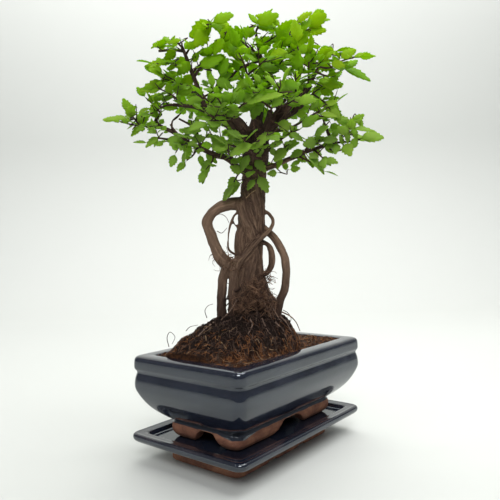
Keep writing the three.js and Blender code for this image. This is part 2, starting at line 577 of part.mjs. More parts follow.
const SHOOTS = [
  ['left_tip', 'left_low', 1, [[-76, 237, 9], [-88, 239, 10], [-97, 242, 10]], 7],
  ['left_tip_up', 'left_tip', 0.45, [[-84, 243, 12], [-87, 247, 13]], 2],
  ['left_rise', 'left_low_rise', 1, [[-69, 252, 2], [-75, 258, 3]], 5],
  ['left_second_tip', 'left_second', 1, [[-62, 251.5, 9], [-70, 247, 11], [-79, 244, 12]], 6],
  ['left_second_top', 'left_second', 0.75, [[-56, 260, 14], [-66, 265, 16]], 6],
  ['left_side_tip', 'left_low_side', 1, [[-68, 228, 15], [-74, 225, 15]], 4],
  ['left_drop', 'left_low', 0.72, [[-51, 222, 14], [-54, 217, 15]], 3],
  ['left_drop_inner', 'left_low', 0.58, [[-41, 215, 11], [-46, 211, 11]], 4],
  ['left_drop_near', 'left_low', 0.42, [[-27, 210, 10], [-32, 204, 12]], 4],
  ['left_up', 'left_low', 0.86, [[-56, 240, 2], [-51, 245, -2]], 4],
  ['left_middle', 'left_main', 0.68, [[-45, 266, 14], [-54, 271, 16], [-63, 275, 16]], 7],
  ['left_upper', 'left_main', 0.8, [[-50, 281, 14], [-59, 284, 15], [-67, 283, 15]], 7],
  ['left_spur_tip', 'left_main', 1, [[-53, 300, 9], [-60, 300, 9]], 4],
  ['left_crown', 'left_main', 0.9, [[-40, 297, 14], [-34, 305, 15], [-27, 310, 15], [-19, 314, 15]], 8],
  ['left_crown_low', 'left_main', 0.76, [[-33, 283, 15], [-26, 289, 18], [-19, 296, 19]], 7],
  ['left_inner', 'left_main', 0.6, [[-25, 262, 13], [-21, 271, 18]], 6],
  ['left_front', 'left_main', 0.4, [[-26, 251, 19], [-33, 258, 28]], 6],
  ['left_behind', 'left_main', 0.64, [[-43, 262, -6], [-51, 267, -16]], 6],
  ['top_left', 'leader', 1, [[-3, 298, -2], [-11, 304, 0]], 6],
  ['top_middle', 'leader_stem', 1, [[8, 307, -1], [12, 312, 2]], 6],
  ['top_right', 'leader_right', 1, [[35, 302, 2], [43, 308, 3], [51, 312, 4]], 8],
  ['top_right_up', 'top_right', 0.2, [[33, 304, 5], [36, 310, 8]], 4],
  ['top_right_back', 'top_right', 0.1, [[29, 297, -10], [31, 302, -19]], 5],
  ['crown_right', 'leader', 0.66, [[22, 278, 7], [28, 285, 14], [33, 290, 18]], 7],
  ['crown_front', 'leader', 0.9, [[6, 291, 7], [1, 297, 14]], 6],
  ['crown_stem', 'leader_stem', 0.5, [[15, 297, 2], [23, 302, 6]], 5],
  ['right_top', 'right_main', 1, [[54, 280, 8], [60, 285, 9], [64, 289, 10]], 6],
  ['right_top_out', 'right_top', 0.25, [[61, 277, 12], [71, 282, 14], [82, 285, 14]], 7],
  ['right_top_low', 'right_top', 0.1, [[60, 271, 3], [71, 275, 2]], 4],
  ['right_edge', 'right_under', 1, [[52, 261, -6], [60, 265, -7]], 6],
  ['right_edge_low', 'right_edge', 0.25, [[54, 254, -1], [60, 249, 1]], 4],
  ['right_thin_tip', 'right_thin', 1, [[60, 248, 12], [65, 251, 12]], 3],
  ['right_thin_low', 'right_thin', 0.85, [[55, 241, 15], [63, 241, 17]], 4],
  ['right_fork_tip', 'right_low_fork', 1, [[56, 238, 5], [57, 243, 4]], 4],
  ['right_tip', 'right_low', 1, [[74, 222, 9], [81, 223, 9], [87, 226, 9]], 4],
  ['right_tip_up', 'right_tip', 0.1, [[70, 228, 11], [76, 235, 13]], 6],
  ['right_drop', 'right_low', 0.86, [[63, 215, 12], [69, 216, 14]], 4],
  ['right_middle', 'right_low', 0.72, [[52, 213, 14], [55, 210, 16]], 4],
  ['right_middle_up', 'right_low', 0.62, [[44, 221, 12], [47, 226, 16]], 4],
  ['right_hang', 'right_low', 0.5, [[43, 209, 12], [50, 205, 14], [55, 201, 14]], 5],
  ['right_near', 'right_low', 0.32, [[24, 214, 8], [27, 219, 11]], 4],
  ['right_front_tip', 'right_front', 1, [[31, 229, 22], [38, 232, 28]], 6],
  ['right_inner', 'right_main', 0.36, [[20, 251, 12], [14, 257, 20]], 6],
  ['right_inner_up', 'right_main', 0.62, [[36, 264, 12], [36, 273, 18]], 6],
  ['right_crown', 'right_main', 0.84, [[46, 276, 15], [46, 285, 20]], 6],
  ['front_left_spray', 'front_left', 1, [[-18, 249, 39], [-22, 257, 50]], 6],
  ['front_left_right', 'front_left_spray', 0.15, [[-9, 247, 38], [-2, 253, 46]], 6],
  ['front_left_low', 'front_left_spray', 0.05, [[-21, 240, 33], [-29, 240, 40]], 5],
  ['front_right_spray', 'front_right', 1, [[21, 256, 38], [25, 265, 50]], 6],
  ['front_right_out', 'front_right_spray', 0.15, [[27, 250, 36], [35, 254, 43]], 6],
  ['front_right_in', 'front_right_spray', 0.1, [[10, 254, 33], [4, 261, 41]], 6],
  ['front_low_spray', 'front_low', 1, [[-1, 221, 34], [-4, 229, 48]], 6],
  ['front_low_right', 'front_low_spray', 0.2, [[7, 224, 34], [14, 228, 42]], 5],
  ['front_low_left', 'front_low_spray', 0.1, [[-8, 220, 28], [-15, 222, 36]], 5],
  ['front_high_spray', 'front_high', 1, [[-2, 282, 23], [-6, 291, 27]], 6],
  ['front_high_right', 'front_high_spray', 0.1, [[8, 279, 26], [15, 285, 33]], 6],
  ['back_left_spray', 'back_left', 1, [[-27, 250, -44], [-33, 260, -56]], 7],
  ['back_left_out', 'back_left_spray', 0.1, [[-32, 245, -35], [-44, 249, -40]], 7],
  ['back_left_in', 'back_left_spray', 0.2, [[-16, 252, -38], [-11, 260, -45]], 6],
  ['back_right_spray', 'back_right', 1, [[29, 256, -45], [34, 268, -57]], 7],
  ['back_right_out', 'back_right_spray', 0.1, [[34, 249, -37], [46, 253, -43]], 7],
  ['back_right_in', 'back_right_spray', 0.2, [[15, 257, -39], [10, 266, -46]], 6],
  ['back_low_spray', 'back_low', 1, [[-6, 225, -49], [-8, 232, -63]], 7],
  ['back_low_right', 'back_low_spray', 0.2, [[6, 226, -47], [15, 230, -53]], 6],
  ['back_low_left', 'back_low_spray', 0.1, [[-15, 222, -40], [-25, 223, -44]], 6],
  ['back_high_spray', 'back_high', 1, [[0, 276, -35], [-3, 286, -42]], 7],
  ['back_high_right', 'back_high_spray', 0.1, [[10, 273, -33], [20, 280, -38]], 6],
  ['back_high_left', 'back_high_spray', 0.15, [[-9, 272, -33], [-18, 278, -37]], 6],
  ['trunk_front', 'trunk', 0.833, [[3, 204, 12], [6, 200, 14]], 2],
  ['trunk_shoot', 'trunk', 0.82, [[-7, 201, 8], [-11.5, 194, 10]], 2],
];

// Where along its own route a shoot has come clear of the limb that it grows from
function firstClear(curve, limb, limbRadius, atEnd) {
  const near = atEnd ? [limb.getPoint(1)] : limb.getPoints(80);
  const reach = SEAT_GAP + (atEnd ? 0 : FLAT_SHARE * (limbRadius + SHOOT_RADIUS / 2));
  let t = 0;
  while (t < 0.9 && near.some((point) => point.distanceTo(curve.getPoint(t)) < reach)) {
    t += 0.005;
  }
  return t;
}

function shootPlans() {
  const curves = { trunk: routeCurve(TRUNK) };
  for (const [name, route] of Object.entries(LIMBS)) {
    curves[name] = routeCurve(route);
  }
  const plans = {};
  SHOOTS.forEach(([name, parent, at, stops, leaves], number) => {
    const start = curves[parent].getPoint(at);
    const curve = new THREE.CatmullRomCurve3([start, ...stops.map(place)], false, 'catmullrom', 0.5);
    curves[name] = curve;
    const onShoot = plans[parent] !== undefined;
    const onTrunk = parent === 'trunk';
    const route = onTrunk ? TRUNK : LIMBS[parent];
    const first = onShoot ? 0 : firstClear(curve, curves[parent], routeRadius(route, at), at === 1);
    const node = onShoot ? plans[parent].node : name;
    plans[name] = { number, curve, first, stops: stops.length + 1, leaves, node, onTrunk };
  });
  return Object.values(plans);
}

function shootSolid(plan) {
  return bentCylinder({
    curve: plan.curve,
    first: plan.first,
    sides: SHOOT_SIDES,
    steps: plan.stops - 1,
    radiusAt: (t) => THREE.MathUtils.lerp(SHOOT_RADIUS, SHOOT_TIP_RADIUS, t),
    side: new THREE.Vector3(0.3, 0.2, 1),
  });
}

// The crown's outline and the gaps in it, [across, up] as they are seen from the front

const CROWN_OUTLINE = [
  [-107, 243], [-92, 247], [-86, 256], [-80, 252], [-72, 251], [-72, 258], [-81, 263], [-64, 272],
  [-77, 281], [-60, 288], [-70, 296], [-67, 300], [-52, 306], [-43, 303], [-34, 314], [-20, 321],
  [-8, 321], [-13, 311], [8, 311], [2, 321], [9, 318], [18, 322], [26, 319], [25, 309], [38, 316],
  [48, 320], [61, 320], [58, 310], [62, 305], [49, 301], [48, 295], [64, 294], [68, 290], [82, 292],
  [84, 288], [97, 287], [80, 280], [67, 272], [73, 263], [66, 258], [70, 254], [66, 249], [70, 241],
  [84, 240], [86, 232], [103, 224], [94, 220], [84, 221], [79, 212], [64, 210], [59, 196],
  [45, 204], [14, 199], [-8, 200], [-22, 208], [-34, 192], [-38, 193], [-36, 215], [-45, 208],
  [-51, 205], [-52, 218], [-60, 224], [-70, 219], [-78, 220], [-68, 232], [-88, 228], [-96, 240],
];
const CROWN_GAPS = [
  [[-64, 246], [-43, 247], [-48, 237], [-59, 236]],
  [[-39, 227], [-27, 227], [-24, 223], [-38, 222]],
  [[36, 238], [53, 239], [55, 231], [52, 226], [40, 227]],
  [[-18, 297], [-8, 285], [-23, 289]],
];

// Leaves

// Half of a leaf's outline as shares of its length and width: stalk, tooth, notch, tooth
const HALF_LEAF = [[0.15, 0.05], [0.38, 0.48], [0.49, 0.4], [0.7, 0.4]];

// Where a leaf sits, which way it points and which way it faces.
// Another try turns and tilts it differently.
function leafPose(plan, leaf, attempt) {
  const last = leaf === plan.leaves - 1;
  const draw = (use) => chance(plan.number, leaf, use + attempt * 10);
  const t = last ? 1 : 0.3 + 0.62 * (leaf + 0.5) / Math.max(plan.leaves - 1, 1);
  const origin = plan.curve.getPoint(t);
  const along = plan.curve.getTangent(t);
  const upward = new THREE.Vector3(0, 0, 1);
  const sideways = along.clone().cross(upward).normalize();
  const lean = (leaf % 2 === 0 ? 1 : -1) * (last ? 0.2 : 1);
  const forward = along.clone().multiplyScalar(last ? 1 : 0.55 + 0.4 * draw(1))
    .addScaledVector(sideways, lean * (0.75 + 0.5 * draw(2)))
    .addScaledVector(upward, (draw(3) - 0.55) * 1.1)
    .normalize();
  const outward = Math.sign(origin.dot(TO_VIEWER)) || 1;
  const facing = new THREE.Vector3(draw(4) - 0.5, draw(5) - 0.5, 0.35 + 0.5 * draw(6))
    .addScaledVector(TO_VIEWER, outward * (0.2 + 0.9 * draw(7)));
  const across = forward.clone().cross(facing).normalize();
  const normal = across.clone().cross(forward).normalize();
  const length = (LEAF_LENGTH_MIN + LEAF_LENGTH_RANGE * draw(8)) * (leaf === 0 ? 0.85 : 1);
  const width = length * (LEAF_WIDTH_SHARE + 0.08 * (draw(9) - 0.5));
  return { plan, origin, forward, across, normal, length, width, root: last ? -0.7 : 0 };
}

// How far a blade has risen at a distance from its midrib
function leafFold(pose, y) {
  return LEAF_FOLD * Math.max(Math.abs(y) - HALF_LEAF[0][1] * pose.width, 0);
}

function leafPoint(pose, x, y, z) {
  return pose.origin.clone()
    .addScaledVector(pose.forward, x)
    .addScaledVector(pose.across, y)
    .addScaledVector(pose.normal, z + leafFold(pose, y));
}

// A flat stalk and midrib, with the two halves of the blade folded up a little
// beside it, all of one thickness
function leafSolid(pose) {
  const outline = [[pose.root, 0]];
  for (const [x, y] of HALF_LEAF) {
    outline.push([x * pose.length, y * pose.width]);
  }
  outline.push([pose.length, 0]);
  for (const [x, y] of HALF_LEAF.slice().reverse()) {
    outline.push([x * pose.length, -y * pose.width]);
  }
  const count = outline.length;
  const tip = count / 2;
  const points = [];
  for (const z of [LEAF_THICKNESS / 2, -LEAF_THICKNESS / 2]) {
    outline.forEach(([x, y], i) => points.push(leafPoint(pose, x, y, i === 0 ? 0 : z)));
  }
  const onTop = [[0, count - 1, 1], [1, count - 1, tip]];
  for (let i = 1; i < tip - 1; i++) {
    onTop.push([tip, i + 1, i]);
    onTop.push([tip, count - i, count - i - 1]);
  }
  const faces = onTop.concat(onTop.map(([a, b, c]) => [a + count, c + count, b + count]));
  for (let i = 0; i < count; i++) {
    const next = (i + 1) % count;
    faces.push([i, next, next + count]);
    faces.push([i, next + count, i + count]);
  }
  const geometry = new THREE.BufferGeometry().setFromPoints(points);
  geometry.setIndex(faces.flat());
  const solid = toSolid(geometry);
  if (solid.volume() > 0) {
    return solid;
  }
  geometry.setIndex(faces.map(([a, b, c]) => [a, c, b]).flat());
  return toSolid(geometry);
}

// Points spread over a blade, to test it against the others
function leafSamples(pose) {
  const samples = [];
  for (const x of [0.12, 0.26, 0.4, 0.54, 0.68, 0.82, 1]) {
    const half = 0.5 * pose.width * Math.sin(Math.PI * Math.min(x, 0.97)) ** 0.6;
    for (const y of [-1, -0.5, 0, 0.5, 1]) {
      samples.push(leafPoint(pose, x * pose.length, y * half, 0));
    }
  }
  return samples;
}

function touchesLeaf(pose, point, reach) {
  const offset = point.clone().sub(pose.origin);
  const x = offset.dot(pose.forward);
  const y = offset.dot(pose.across);
  if (x < 1.5 || x > pose.length + reach || Math.abs(y) > pose.width / 2 + reach) {
    return false;
  }
  const z = offset.dot(pose.normal) - leafFold(pose, y);
  const half = 0.5 * pose.width * Math.sin(Math.PI * Math.min(x / pose.length, 0.95)) ** 0.6;
  return Math.abs(y) < half + reach && Math.abs(z) < LEAF_THICKNESS / 2 + reach;
}

function woodSamples(plans) {
  const samples = [];
  for (const route of [TRUNK, ...Object.values(ROOTS), ...Object.values(LIMBS)]) {
    const curve = routeCurve(route);
    const count = (route.length - 1) * 5;
    for (let i = 0; i <= count; i++) {
      const t = i / count;
      samples.push({ point: curve.getPoint(t), radius: routeRadius(route, t), owner: null });
    }
  }
  for (const plan of plans) {
    const count = (plan.stops - 1) * 6;
    for (let i = 0; i <= count; i++) {
      samples.push({ point: plan.curve.getPoint(i / count), radius: SHOOT_RADIUS, owner: plan });
    }
  }
  return samples;
}

function isClear(pose, placed, wood) {
  const samples = leafSamples(pose);
  for (const other of placed) {
    if (other.pose.origin.distanceTo(pose.origin) < pose.length + other.pose.length + 3) {
      if (samples.some((point) => touchesLeaf(other.pose, point, LEAF_CLEARANCE))) {
        return false;
      }
      if (other.samples.some((point) => touchesLeaf(pose, point, LEAF_CLEARANCE))) {
        return false;
      }
    }
  }
  return !wood.some(({ point, radius, owner }) => owner !== pose.plan
    && point.distanceTo(pose.origin) > 3.5
    && touchesLeaf(pose, point, radius + 0.6));
}

// How many places along a leaf are seen outside the crown's outline or in its gaps.
// The few leaves that grow on the trunk itself may hang below the crown.
function placesOutside(pose) {
  const places = [0.3, 0.65, 1].map((share) => seen(leafPoint(pose, share * pose.length, 0, 0)));
  const isOutside = (spot) => !encloses(CROWN_OUTLINE, spot)
    || CROWN_GAPS.some((gap) => encloses(gap, spot));
  return pose.plan.onTrunk ? 0 : places.filter(isOutside).length;
}

// The first try at a leaf that keeps in the crown and clear of the others. At a shoot's
// tip it is the try that reaches farthest, or sticks out least if none keeps in the crown.
function choosePose(plan, leaf, placed, wood) {
  const last = leaf === plan.leaves - 1;
  let chosen = null;
  let best = last ? -Infinity : -1;
  for (let attempt = 0; attempt < LEAF_ATTEMPTS && (last || chosen === null); attempt++) {
    const pose = leafPose(plan, leaf, attempt);
    const [across, up] = seen(leafPoint(pose, pose.length, 0, 0));
    const reach = last ? Math.hypot(across, up - CROWN_MIDDLE) : 0;
    const outside = placesOutside(pose);
    const score = outside > 0 ? -reach - OUTSIDE_COST * outside : reach;
    if (score > best && isClear(pose, placed, wood)) {
      chosen = pose;
      best = score;
    }
  }
  return chosen;
}

// Leaves are placed at about every second bud, and always at a shoot's tip
function placeLeaves(plans) {
  const wood = woodSamples(plans);
  const placed = [];
  for (const plan of plans) {
    for (let leaf = 0; leaf < plan.leaves; leaf++) {
      const last = leaf === plan.leaves - 1;
      if (last || (leaf % 2 === 1 && leaf < plan.leaves - 2)) {
        const pose = choosePose(plan, leaf, placed, wood);
        if (pose !== null) {
          placed.push({ pose, samples: leafSamples(pose) });
        }
      }
    }
  }
  return placed.map(({ pose }) => pose);
}

// Materials

const GLAZE = { color: 0x2a3442, roughness: 0.15, metalness: 0 };
const BARK = { color: 0x6b5646, roughness: 0.9, metalness: 0 };
const EARTH = { color: 0x3d2a1d, roughness: 1, metalness: 0 };
const LEAF_GREEN = { color: 0x6aa312, roughness: 0.45, metalness: 0 };
const SCREEN_PLASTIC = { color: 0x20221f, roughness: 0.5, metalness: 0 };

function addMesh(group, name, solid, finish) {
  const mesh = new THREE.Mesh(toGeometry(solid), new THREE.MeshStandardMaterial(finish));
  mesh.name = name;
  group.add(mesh);
}

// Assembly

const bonsai = new THREE.Group();
const grownWood = makeWood(SEAT_GAP);
const touchingWood = makeWood(TOUCH_GAP);
addMesh(bonsai, 'saucer', makeSaucer(), GLAZE);
addMesh(bonsai, 'pot', makePot(), GLAZE);
addMesh(bonsai, 'drain_screen_left', makeScreen(-DRAIN_OFFSET), SCREEN_PLASTIC);
addMesh(bonsai, 'drain_screen_right', makeScreen(DRAIN_OFFSET), SCREEN_PLASTIC);

let soil = makeSoil().subtract(grownWood);
for (const side of [-1, 1]) {
  const size = SCREEN_SIZE + 2 * SEAT_GAP;
  const top = FLOOR_TOP + SCREEN_THICKNESS + 2 * SEAT_GAP;
  soil = soil.subtract(block(size, size, 4, side * DRAIN_OFFSET, 0, top - 2));
}
addMesh(bonsai, 'soil', largestBody(soil).simplify(WOOD_TOLERANCE), EARTH);
addMesh(bonsai, 'trunk', largestBody(makeWood(0)).simplify(WOOD_TOLERANCE), BARK);

const plans = shootPlans();
const leaves = placeLeaves(plans);
for (const node of new Set(plans.map((plan) => plan.node))) {
  const twigs = plans.filter((plan) => plan.node === node).map(shootSolid);
  const blades = leaves.filter((pose) => pose.plan.node === node).map(leafSolid);
  let spray = joinAll([...twigs, ...blades]);
  if (spray.intersect(touchingWood).volume() > 0) {
    spray = spray.subtract(grownWood);
  }
  addMesh(bonsai, `spray_${node}`, largestBody(spray).simplify(MERGE_TOLERANCE), LEAF_GREEN);
}

// Origin: the bottom centre of the whole thing's box
const box = new THREE.Box3().setFromObject(bonsai);
const middle = box.getCenter(new THREE.Vector3());
bonsai.position.set(-middle.x, -middle.y, -box.min.z);

export default bonsai;
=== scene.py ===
import math
from itertools import product

import bmesh
import bpy
import numpy as np
from mathutils import Matrix, Vector, kdtree, noise


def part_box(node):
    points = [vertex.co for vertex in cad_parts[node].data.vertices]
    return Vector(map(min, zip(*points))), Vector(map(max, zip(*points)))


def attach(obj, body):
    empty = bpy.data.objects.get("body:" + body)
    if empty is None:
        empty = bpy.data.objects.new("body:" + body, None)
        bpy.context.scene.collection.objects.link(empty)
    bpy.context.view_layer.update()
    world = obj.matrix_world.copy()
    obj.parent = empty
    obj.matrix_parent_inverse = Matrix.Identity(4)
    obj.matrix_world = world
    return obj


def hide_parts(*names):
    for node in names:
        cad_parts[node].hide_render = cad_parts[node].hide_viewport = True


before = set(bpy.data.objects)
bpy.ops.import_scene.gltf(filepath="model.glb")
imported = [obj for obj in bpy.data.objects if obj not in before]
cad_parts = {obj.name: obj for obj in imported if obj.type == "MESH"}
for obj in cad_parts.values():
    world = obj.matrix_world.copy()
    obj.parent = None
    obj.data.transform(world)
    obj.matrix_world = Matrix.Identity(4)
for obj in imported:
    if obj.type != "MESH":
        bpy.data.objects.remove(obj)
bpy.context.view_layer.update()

# Sizes are in millimetres round the middle of the pot, as it stands in the frame
MM = 0.001
PER_METRE = 1000
pot_low, pot_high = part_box("pot")
MIDDLE = Vector(((pot_low.x + pot_high.x) / 2, (pot_low.y + pot_high.y) / 2, 0.0))

# Pot
POT_LENGTH = 150
POT_WIDTH = 98.5
POT_TOP = 73
RIM_WIDTH = 12
FLOOR_TOP = 32.5
FLOOR_UNDERSIDE = 27.6
FOOT_INSET = 17.5
FOOT_WALL = 9
LONG_ARCH = 40
LONG_ARCH_SHIFT = 2
SHORT_ARCH = 26
SHORT_ARCH_SHIFT = -4
ARCH_TOP = 25.6
DRAIN_RADIUS = 5
DRAIN_OFFSET = 30

# Saucer, which stands a little out of line with the pot
SAUCER_LENGTH = 148
SAUCER_WIDTH = 100.5
SAUCER_SHIFT = Vector((-1.2, 1.5, 0)) * MM
SAUCER_TOP = 19.8
RECESS_FLOOR = 16.2
SAUCER_UNDERSIDE = 10.5
NOTCH_OFFSET = 17.5
NOTCH_WIDTH = 10
NOTCH_HEIGHT = 1.8
SEAT_GAP = 0.35

# Soil
SOIL_EDGE = 71.6
MOUND_RISE = 26
MOUND_REACH_LEFT = 68
MOUND_REACH_RIGHT = 34
MOUND_REACH_SIDE = 35
MOUND_ROUNDNESS = 2.2
MOUND_CORNER_ROUNDNESS = 5
MOUND_POWER_LEFT = 2.3
MOUND_POWER_RIGHT = 4
MOUND_TURN = 20

# Leaves
LEAF_THICKNESS = 0.6
LARGE_LEAVES = (10.5, 6)
LEAF_WIDTH_SHARE = 0.6
LEAF_FOLD = 0.16
LEAF_CLEARANCE = 1.0
LEAF_ATTEMPTS = 16
OUTSIDE_COST = 100
WINDOW_DEPTH = -6
STALK_SHARE = 0.15
STALK_HALF_WIDTH = 0.05
LEAF_TOOTH = 0.12
SEEN_CLEARANCE = 0.1
LEAF_CELL = 18
BARE_STEP = 5
BARE_REACH = 3.6
BARE_COLUMNS = 22
BARE_ROWS = 27
BARE_TRIES = 4
BARE_LOWEST = 195

# Shoots, and the side twigs between them
SHOOT_RADIUS = 0.95
STALK_RADIUS = 0.5
TWIG_SPACING = 6
TWIG_LENGTH_MIN = 6
TWIG_LENGTH_RANGE = 8
TWIG_BEARING_RADIUS = 3.2
SMALL_LEAVES = (7, 4)

# Crown: side twigs end inside this egg round the trunk; leaves deep inside it get painted shade, and those
# at its top and outside get painted light
CROWN_HALF_WIDTH = 92
CROWN_HALF_DEPTH = 64
CROWN_MIDDLE = 262
CROWN_HALF_HEIGHT = 57

# The viewer stands off the pot's corner
FRONT_TURN = math.radians(-51.5)
VIEWER_DISTANCE = 392
VIEWER_HEIGHT = 142.2
VIEWER_ACROSS = -0.8
RIGHT = np.array([math.cos(FRONT_TURN), math.sin(FRONT_TURN), 0.0])
TOWARD = np.array([math.sin(FRONT_TURN), -math.cos(FRONT_TURN), 0.0])
UP = np.array([0.0, 0.0, 1.0])
VIEWER = RIGHT * VIEWER_ACROSS + UP * VIEWER_HEIGHT + TOWARD * VIEWER_DISTANCE


def place(stop):
    """A place written as it is seen: what is nearer looks larger, and is drawn in."""
    across, up, out = stop[:3]
    nearness = out / VIEWER_DISTANCE
    across += nearness * (VIEWER_ACROSS - across)
    up += nearness * (VIEWER_HEIGHT - up)
    return RIGHT * across + TOWARD * out + UP * up


def seen(point):
    """The stop at which a point is seen: across, up and how far out it lies."""
    out = point.dot(TOWARD)
    nearness = out / VIEWER_DISTANCE
    across = (point.dot(RIGHT) - nearness * VIEWER_ACROSS) / (1 - nearness)
    up = (point[2] - nearness * VIEWER_HEIGHT) / (1 - nearness)
    return across, up, out


def encloses(outline, across, up):
    """Whether a closed outline goes round a place."""
    inside = False
    for (x0, y0), (x1, y1) in zip(outline, outline[-1:] + outline[:-1]):
        if (y0 > up) != (y1 > up) and across < x0 + (up - y0) * (x1 - x0) / (y1 - y0):
            inside = not inside
    return inside


def unit(vector):
    return vector / np.linalg.norm(vector)


def to_frame(point):
    return Vector(point) * MM + MIDDLE


def chance(a, b, c):
    """A repeatable draw between 0 and 1 for the numbers of a shoot, a leaf and a use."""
    mask = 0xFFFFFFFF
    n = (a * 7919 + b * 104729 + c * 1299709 + 12345) & mask
    n = ((n ^ (n >> 16)) * 0x45D9F3B) & mask
    n = ((n ^ (n >> 16)) * 0x45D9F3B) & mask
    return (n ^ (n >> 16)) / 4294967296


# Shader maths


class Value:
    """A shader socket that takes part in sums."""

    def __init__(self, shader, socket):
        self.shader = shader
        self.socket = socket

    def math(self, operation, first, second=0.0):
        made = self.shader.node("Math", {"operation": operation}, {0: first, 1: second})
        return Value(self.shader, made.outputs[0])

    def __add__(self, other):
        return self.math("ADD", self, other)

    __radd__ = __add__

    def __sub__(self, other):
        return self.math("SUBTRACT", self, other)

    def __rsub__(self, other):
        return self.math("SUBTRACT", other, self)

    def __mul__(self, other):
        return self.math("MULTIPLY", self, other)

    __rmul__ = __mul__

    def __pow__(self, other):
        return self.math("POWER", self, other)

    def __abs__(self):
        return self.math("ABSOLUTE", self)

    def sine(self):
        return self.math("SINE", self)

    def at_least(self, other):
        return self.math("MAXIMUM", self, other)


class Shader:
    """A material and the nodes it is made of."""

    def __init__(self, name):
        self.material = bpy.data.materials.new(name)
        self.material.use_nodes = True
        self.tree = self.material.node_tree
        self.tree.nodes.clear()

    def node(self, kind, settings=None, sockets=None):
        made = self.tree.nodes.new("ShaderNode" + kind)
        for key, value in (settings or {}).items():
            if key == "stops":
                ramp = made.color_ramp.elements
                while len(ramp) < len(value):
                    ramp.new(0.5)
                for element, (position, colour) in zip(ramp, value):
                    element.position = position
                    element.color = (*colour, 1.0)
            else:
                setattr(made, key, value)
        for key, value in (sockets or {}).items():
            if isinstance(value, Value):
                self.tree.links.new(value.socket, made.inputs[key])
            else:
                made.inputs[key].default_value = value
        return made

    def value(self, kind, settings=None, sockets=None, output=0):
        return Value(self, self.node(kind, settings, sockets).outputs[output])

    def place(self):
        return self.value("TexCoord", output="Object")

    def parts(self, vector):
        split = self.node("SeparateXYZ", None, {"Vector": vector})
        return [Value(self, socket) for socket in split.outputs]

    def height(self, place_):
        """How high a place lies, in millimetres."""
        return self.parts(place_)[2] * PER_METRE

    def attribute(self, name, output="Fac"):
        return self.value("Attribute", {"attribute_name": name}, None, output)

    def stretched(self, vector, scale):
        return self.value("Mapping", None, {"Vector": vector, "Scale": scale})

    def noise(self, vector, scale, detail=3.0, roughness=0.55, distortion=0.0):
        sockets = {"Vector": vector, "Scale": scale, "Detail": detail}
        sockets.update({"Roughness": roughness, "Distortion": distortion})
        return self.value("TexNoise", None, sockets)

    def span(self, value, low, high, new_low=0.0, new_high=1.0):
        sockets = {"Value": value, "From Min": low, "From Max": high}
        sockets.update({"To Min": new_low, "To Max": new_high})
        return self.value("MapRange", {"clamp": True}, sockets)

    def ramp(self, value, *stops):
        return self.value("ValToRGB", {"stops": stops}, {"Fac": value})

    def mix(self, factor, first, second):
        colours = [c if isinstance(c, Value) else (*c, 1.0) for c in (first, second)]
        sockets = {0: factor, 6: colours[0], 7: colours[1]}
        return self.value("Mix", {"data_type": "RGBA"}, sockets, 2)

    def bump(self, height, strength, distance):
        return self.value("Bump", None, {"Height": height, "Strength": strength, "Distance": distance})

    def skin(self, sockets):
        return self.value("BsdfPrincipled", None, sockets)

    def finish(self, surface):
        self.node("OutputMaterial", None, {"Surface": surface})
        return self.material


def coat(name, surface, *more):
    """A material with one kind of surface all over."""
    s = Shader(name)
    return s.finish(surface(s, s.place(), *more))


def glaze_skin(s, place_):
    """Deep blue-black glaze, a little uneven, and brown where it runs thin over an edge."""
    pool = s.noise(place_, 38, 4, 0.6, 0.4)
    fine = s.noise(place_, 420, 2)
    colour = s.ramp(pool, (0.3, (0.005, 0.007, 0.015)), (0.7, (0.012, 0.018, 0.034)))
    height = s.height(place_)
    edges = [POT_TOP - 0.5, SAUCER_TOP - 0.5]
    thin = sum(s.span(abs(height - edge), 0.4, 1.1, 1.0, 0.0) for edge in edges)
    speckle = s.span(fine + pool * 0.6, 0.72, 0.95)
    colour = s.mix(thin * s.span(pool, 0.4, 0.65, 0.0, 0.4), colour, (0.07, 0.045, 0.04))
    colour = s.mix(speckle * 0.3, colour, (0.04, 0.036, 0.045))
    swell = s.noise(place_, 55, 1, 0.5) + fine * 0.05
    return s.skin({
        "Base Color": colour,
        "Roughness": s.span(pool, 0.3, 0.75, 0.07, 0.16),
        "IOR": 1.75,
        "Specular Tint": (0.9, 0.96, 1.0, 1.0),
        "Normal": s.bump(swell, 0.16, 0.0012),
    })


def clay_skin(s, place_):
    """Unglazed reddish clay, with a darker and smoother skin where it was wiped."""
    cloud = s.noise(place_, 70, 5, 0.6, 0.3)
    grit = s.noise(place_, 1500, 3)
    colour = s.ramp(
        cloud,
        (0.28, (0.12, 0.054, 0.038)),
        (0.5, (0.27, 0.12, 0.075)),
        (0.74, (0.48, 0.235, 0.14)),
    )
    colour = s.mix(s.span(grit, 0.58, 0.8), colour, (0.5, 0.31, 0.21))
    return s.skin({
        "Base Color": colour,
        "Roughness": s.span(cloud, 0.3, 0.7, 0.7, 0.92),
        "Specular IOR Level": 0.25,
        "Normal": s.bump(grit + cloud * 0.8, 0.5, 0.0004),
    })


def dipped_clay(s, place_):
    """Bare clay feet, over which the glaze runs down a little, most at the near corner."""
    x, y, z = [part * PER_METRE for part in s.parts(place_)]
    near = s.span(x + y, -84, -70, 1.0, 0.0)
    edge = s.noise(place_, 110, 2) * 1.6 - near * 2 + ARCH_TOP
    glazed = s.span(z - edge, -0.15, 0.15)
    return s.value("MixShader", None, {
        0: glazed,
        1: clay_skin(s, place_),
        2: glaze_skin(s, place_),
    })


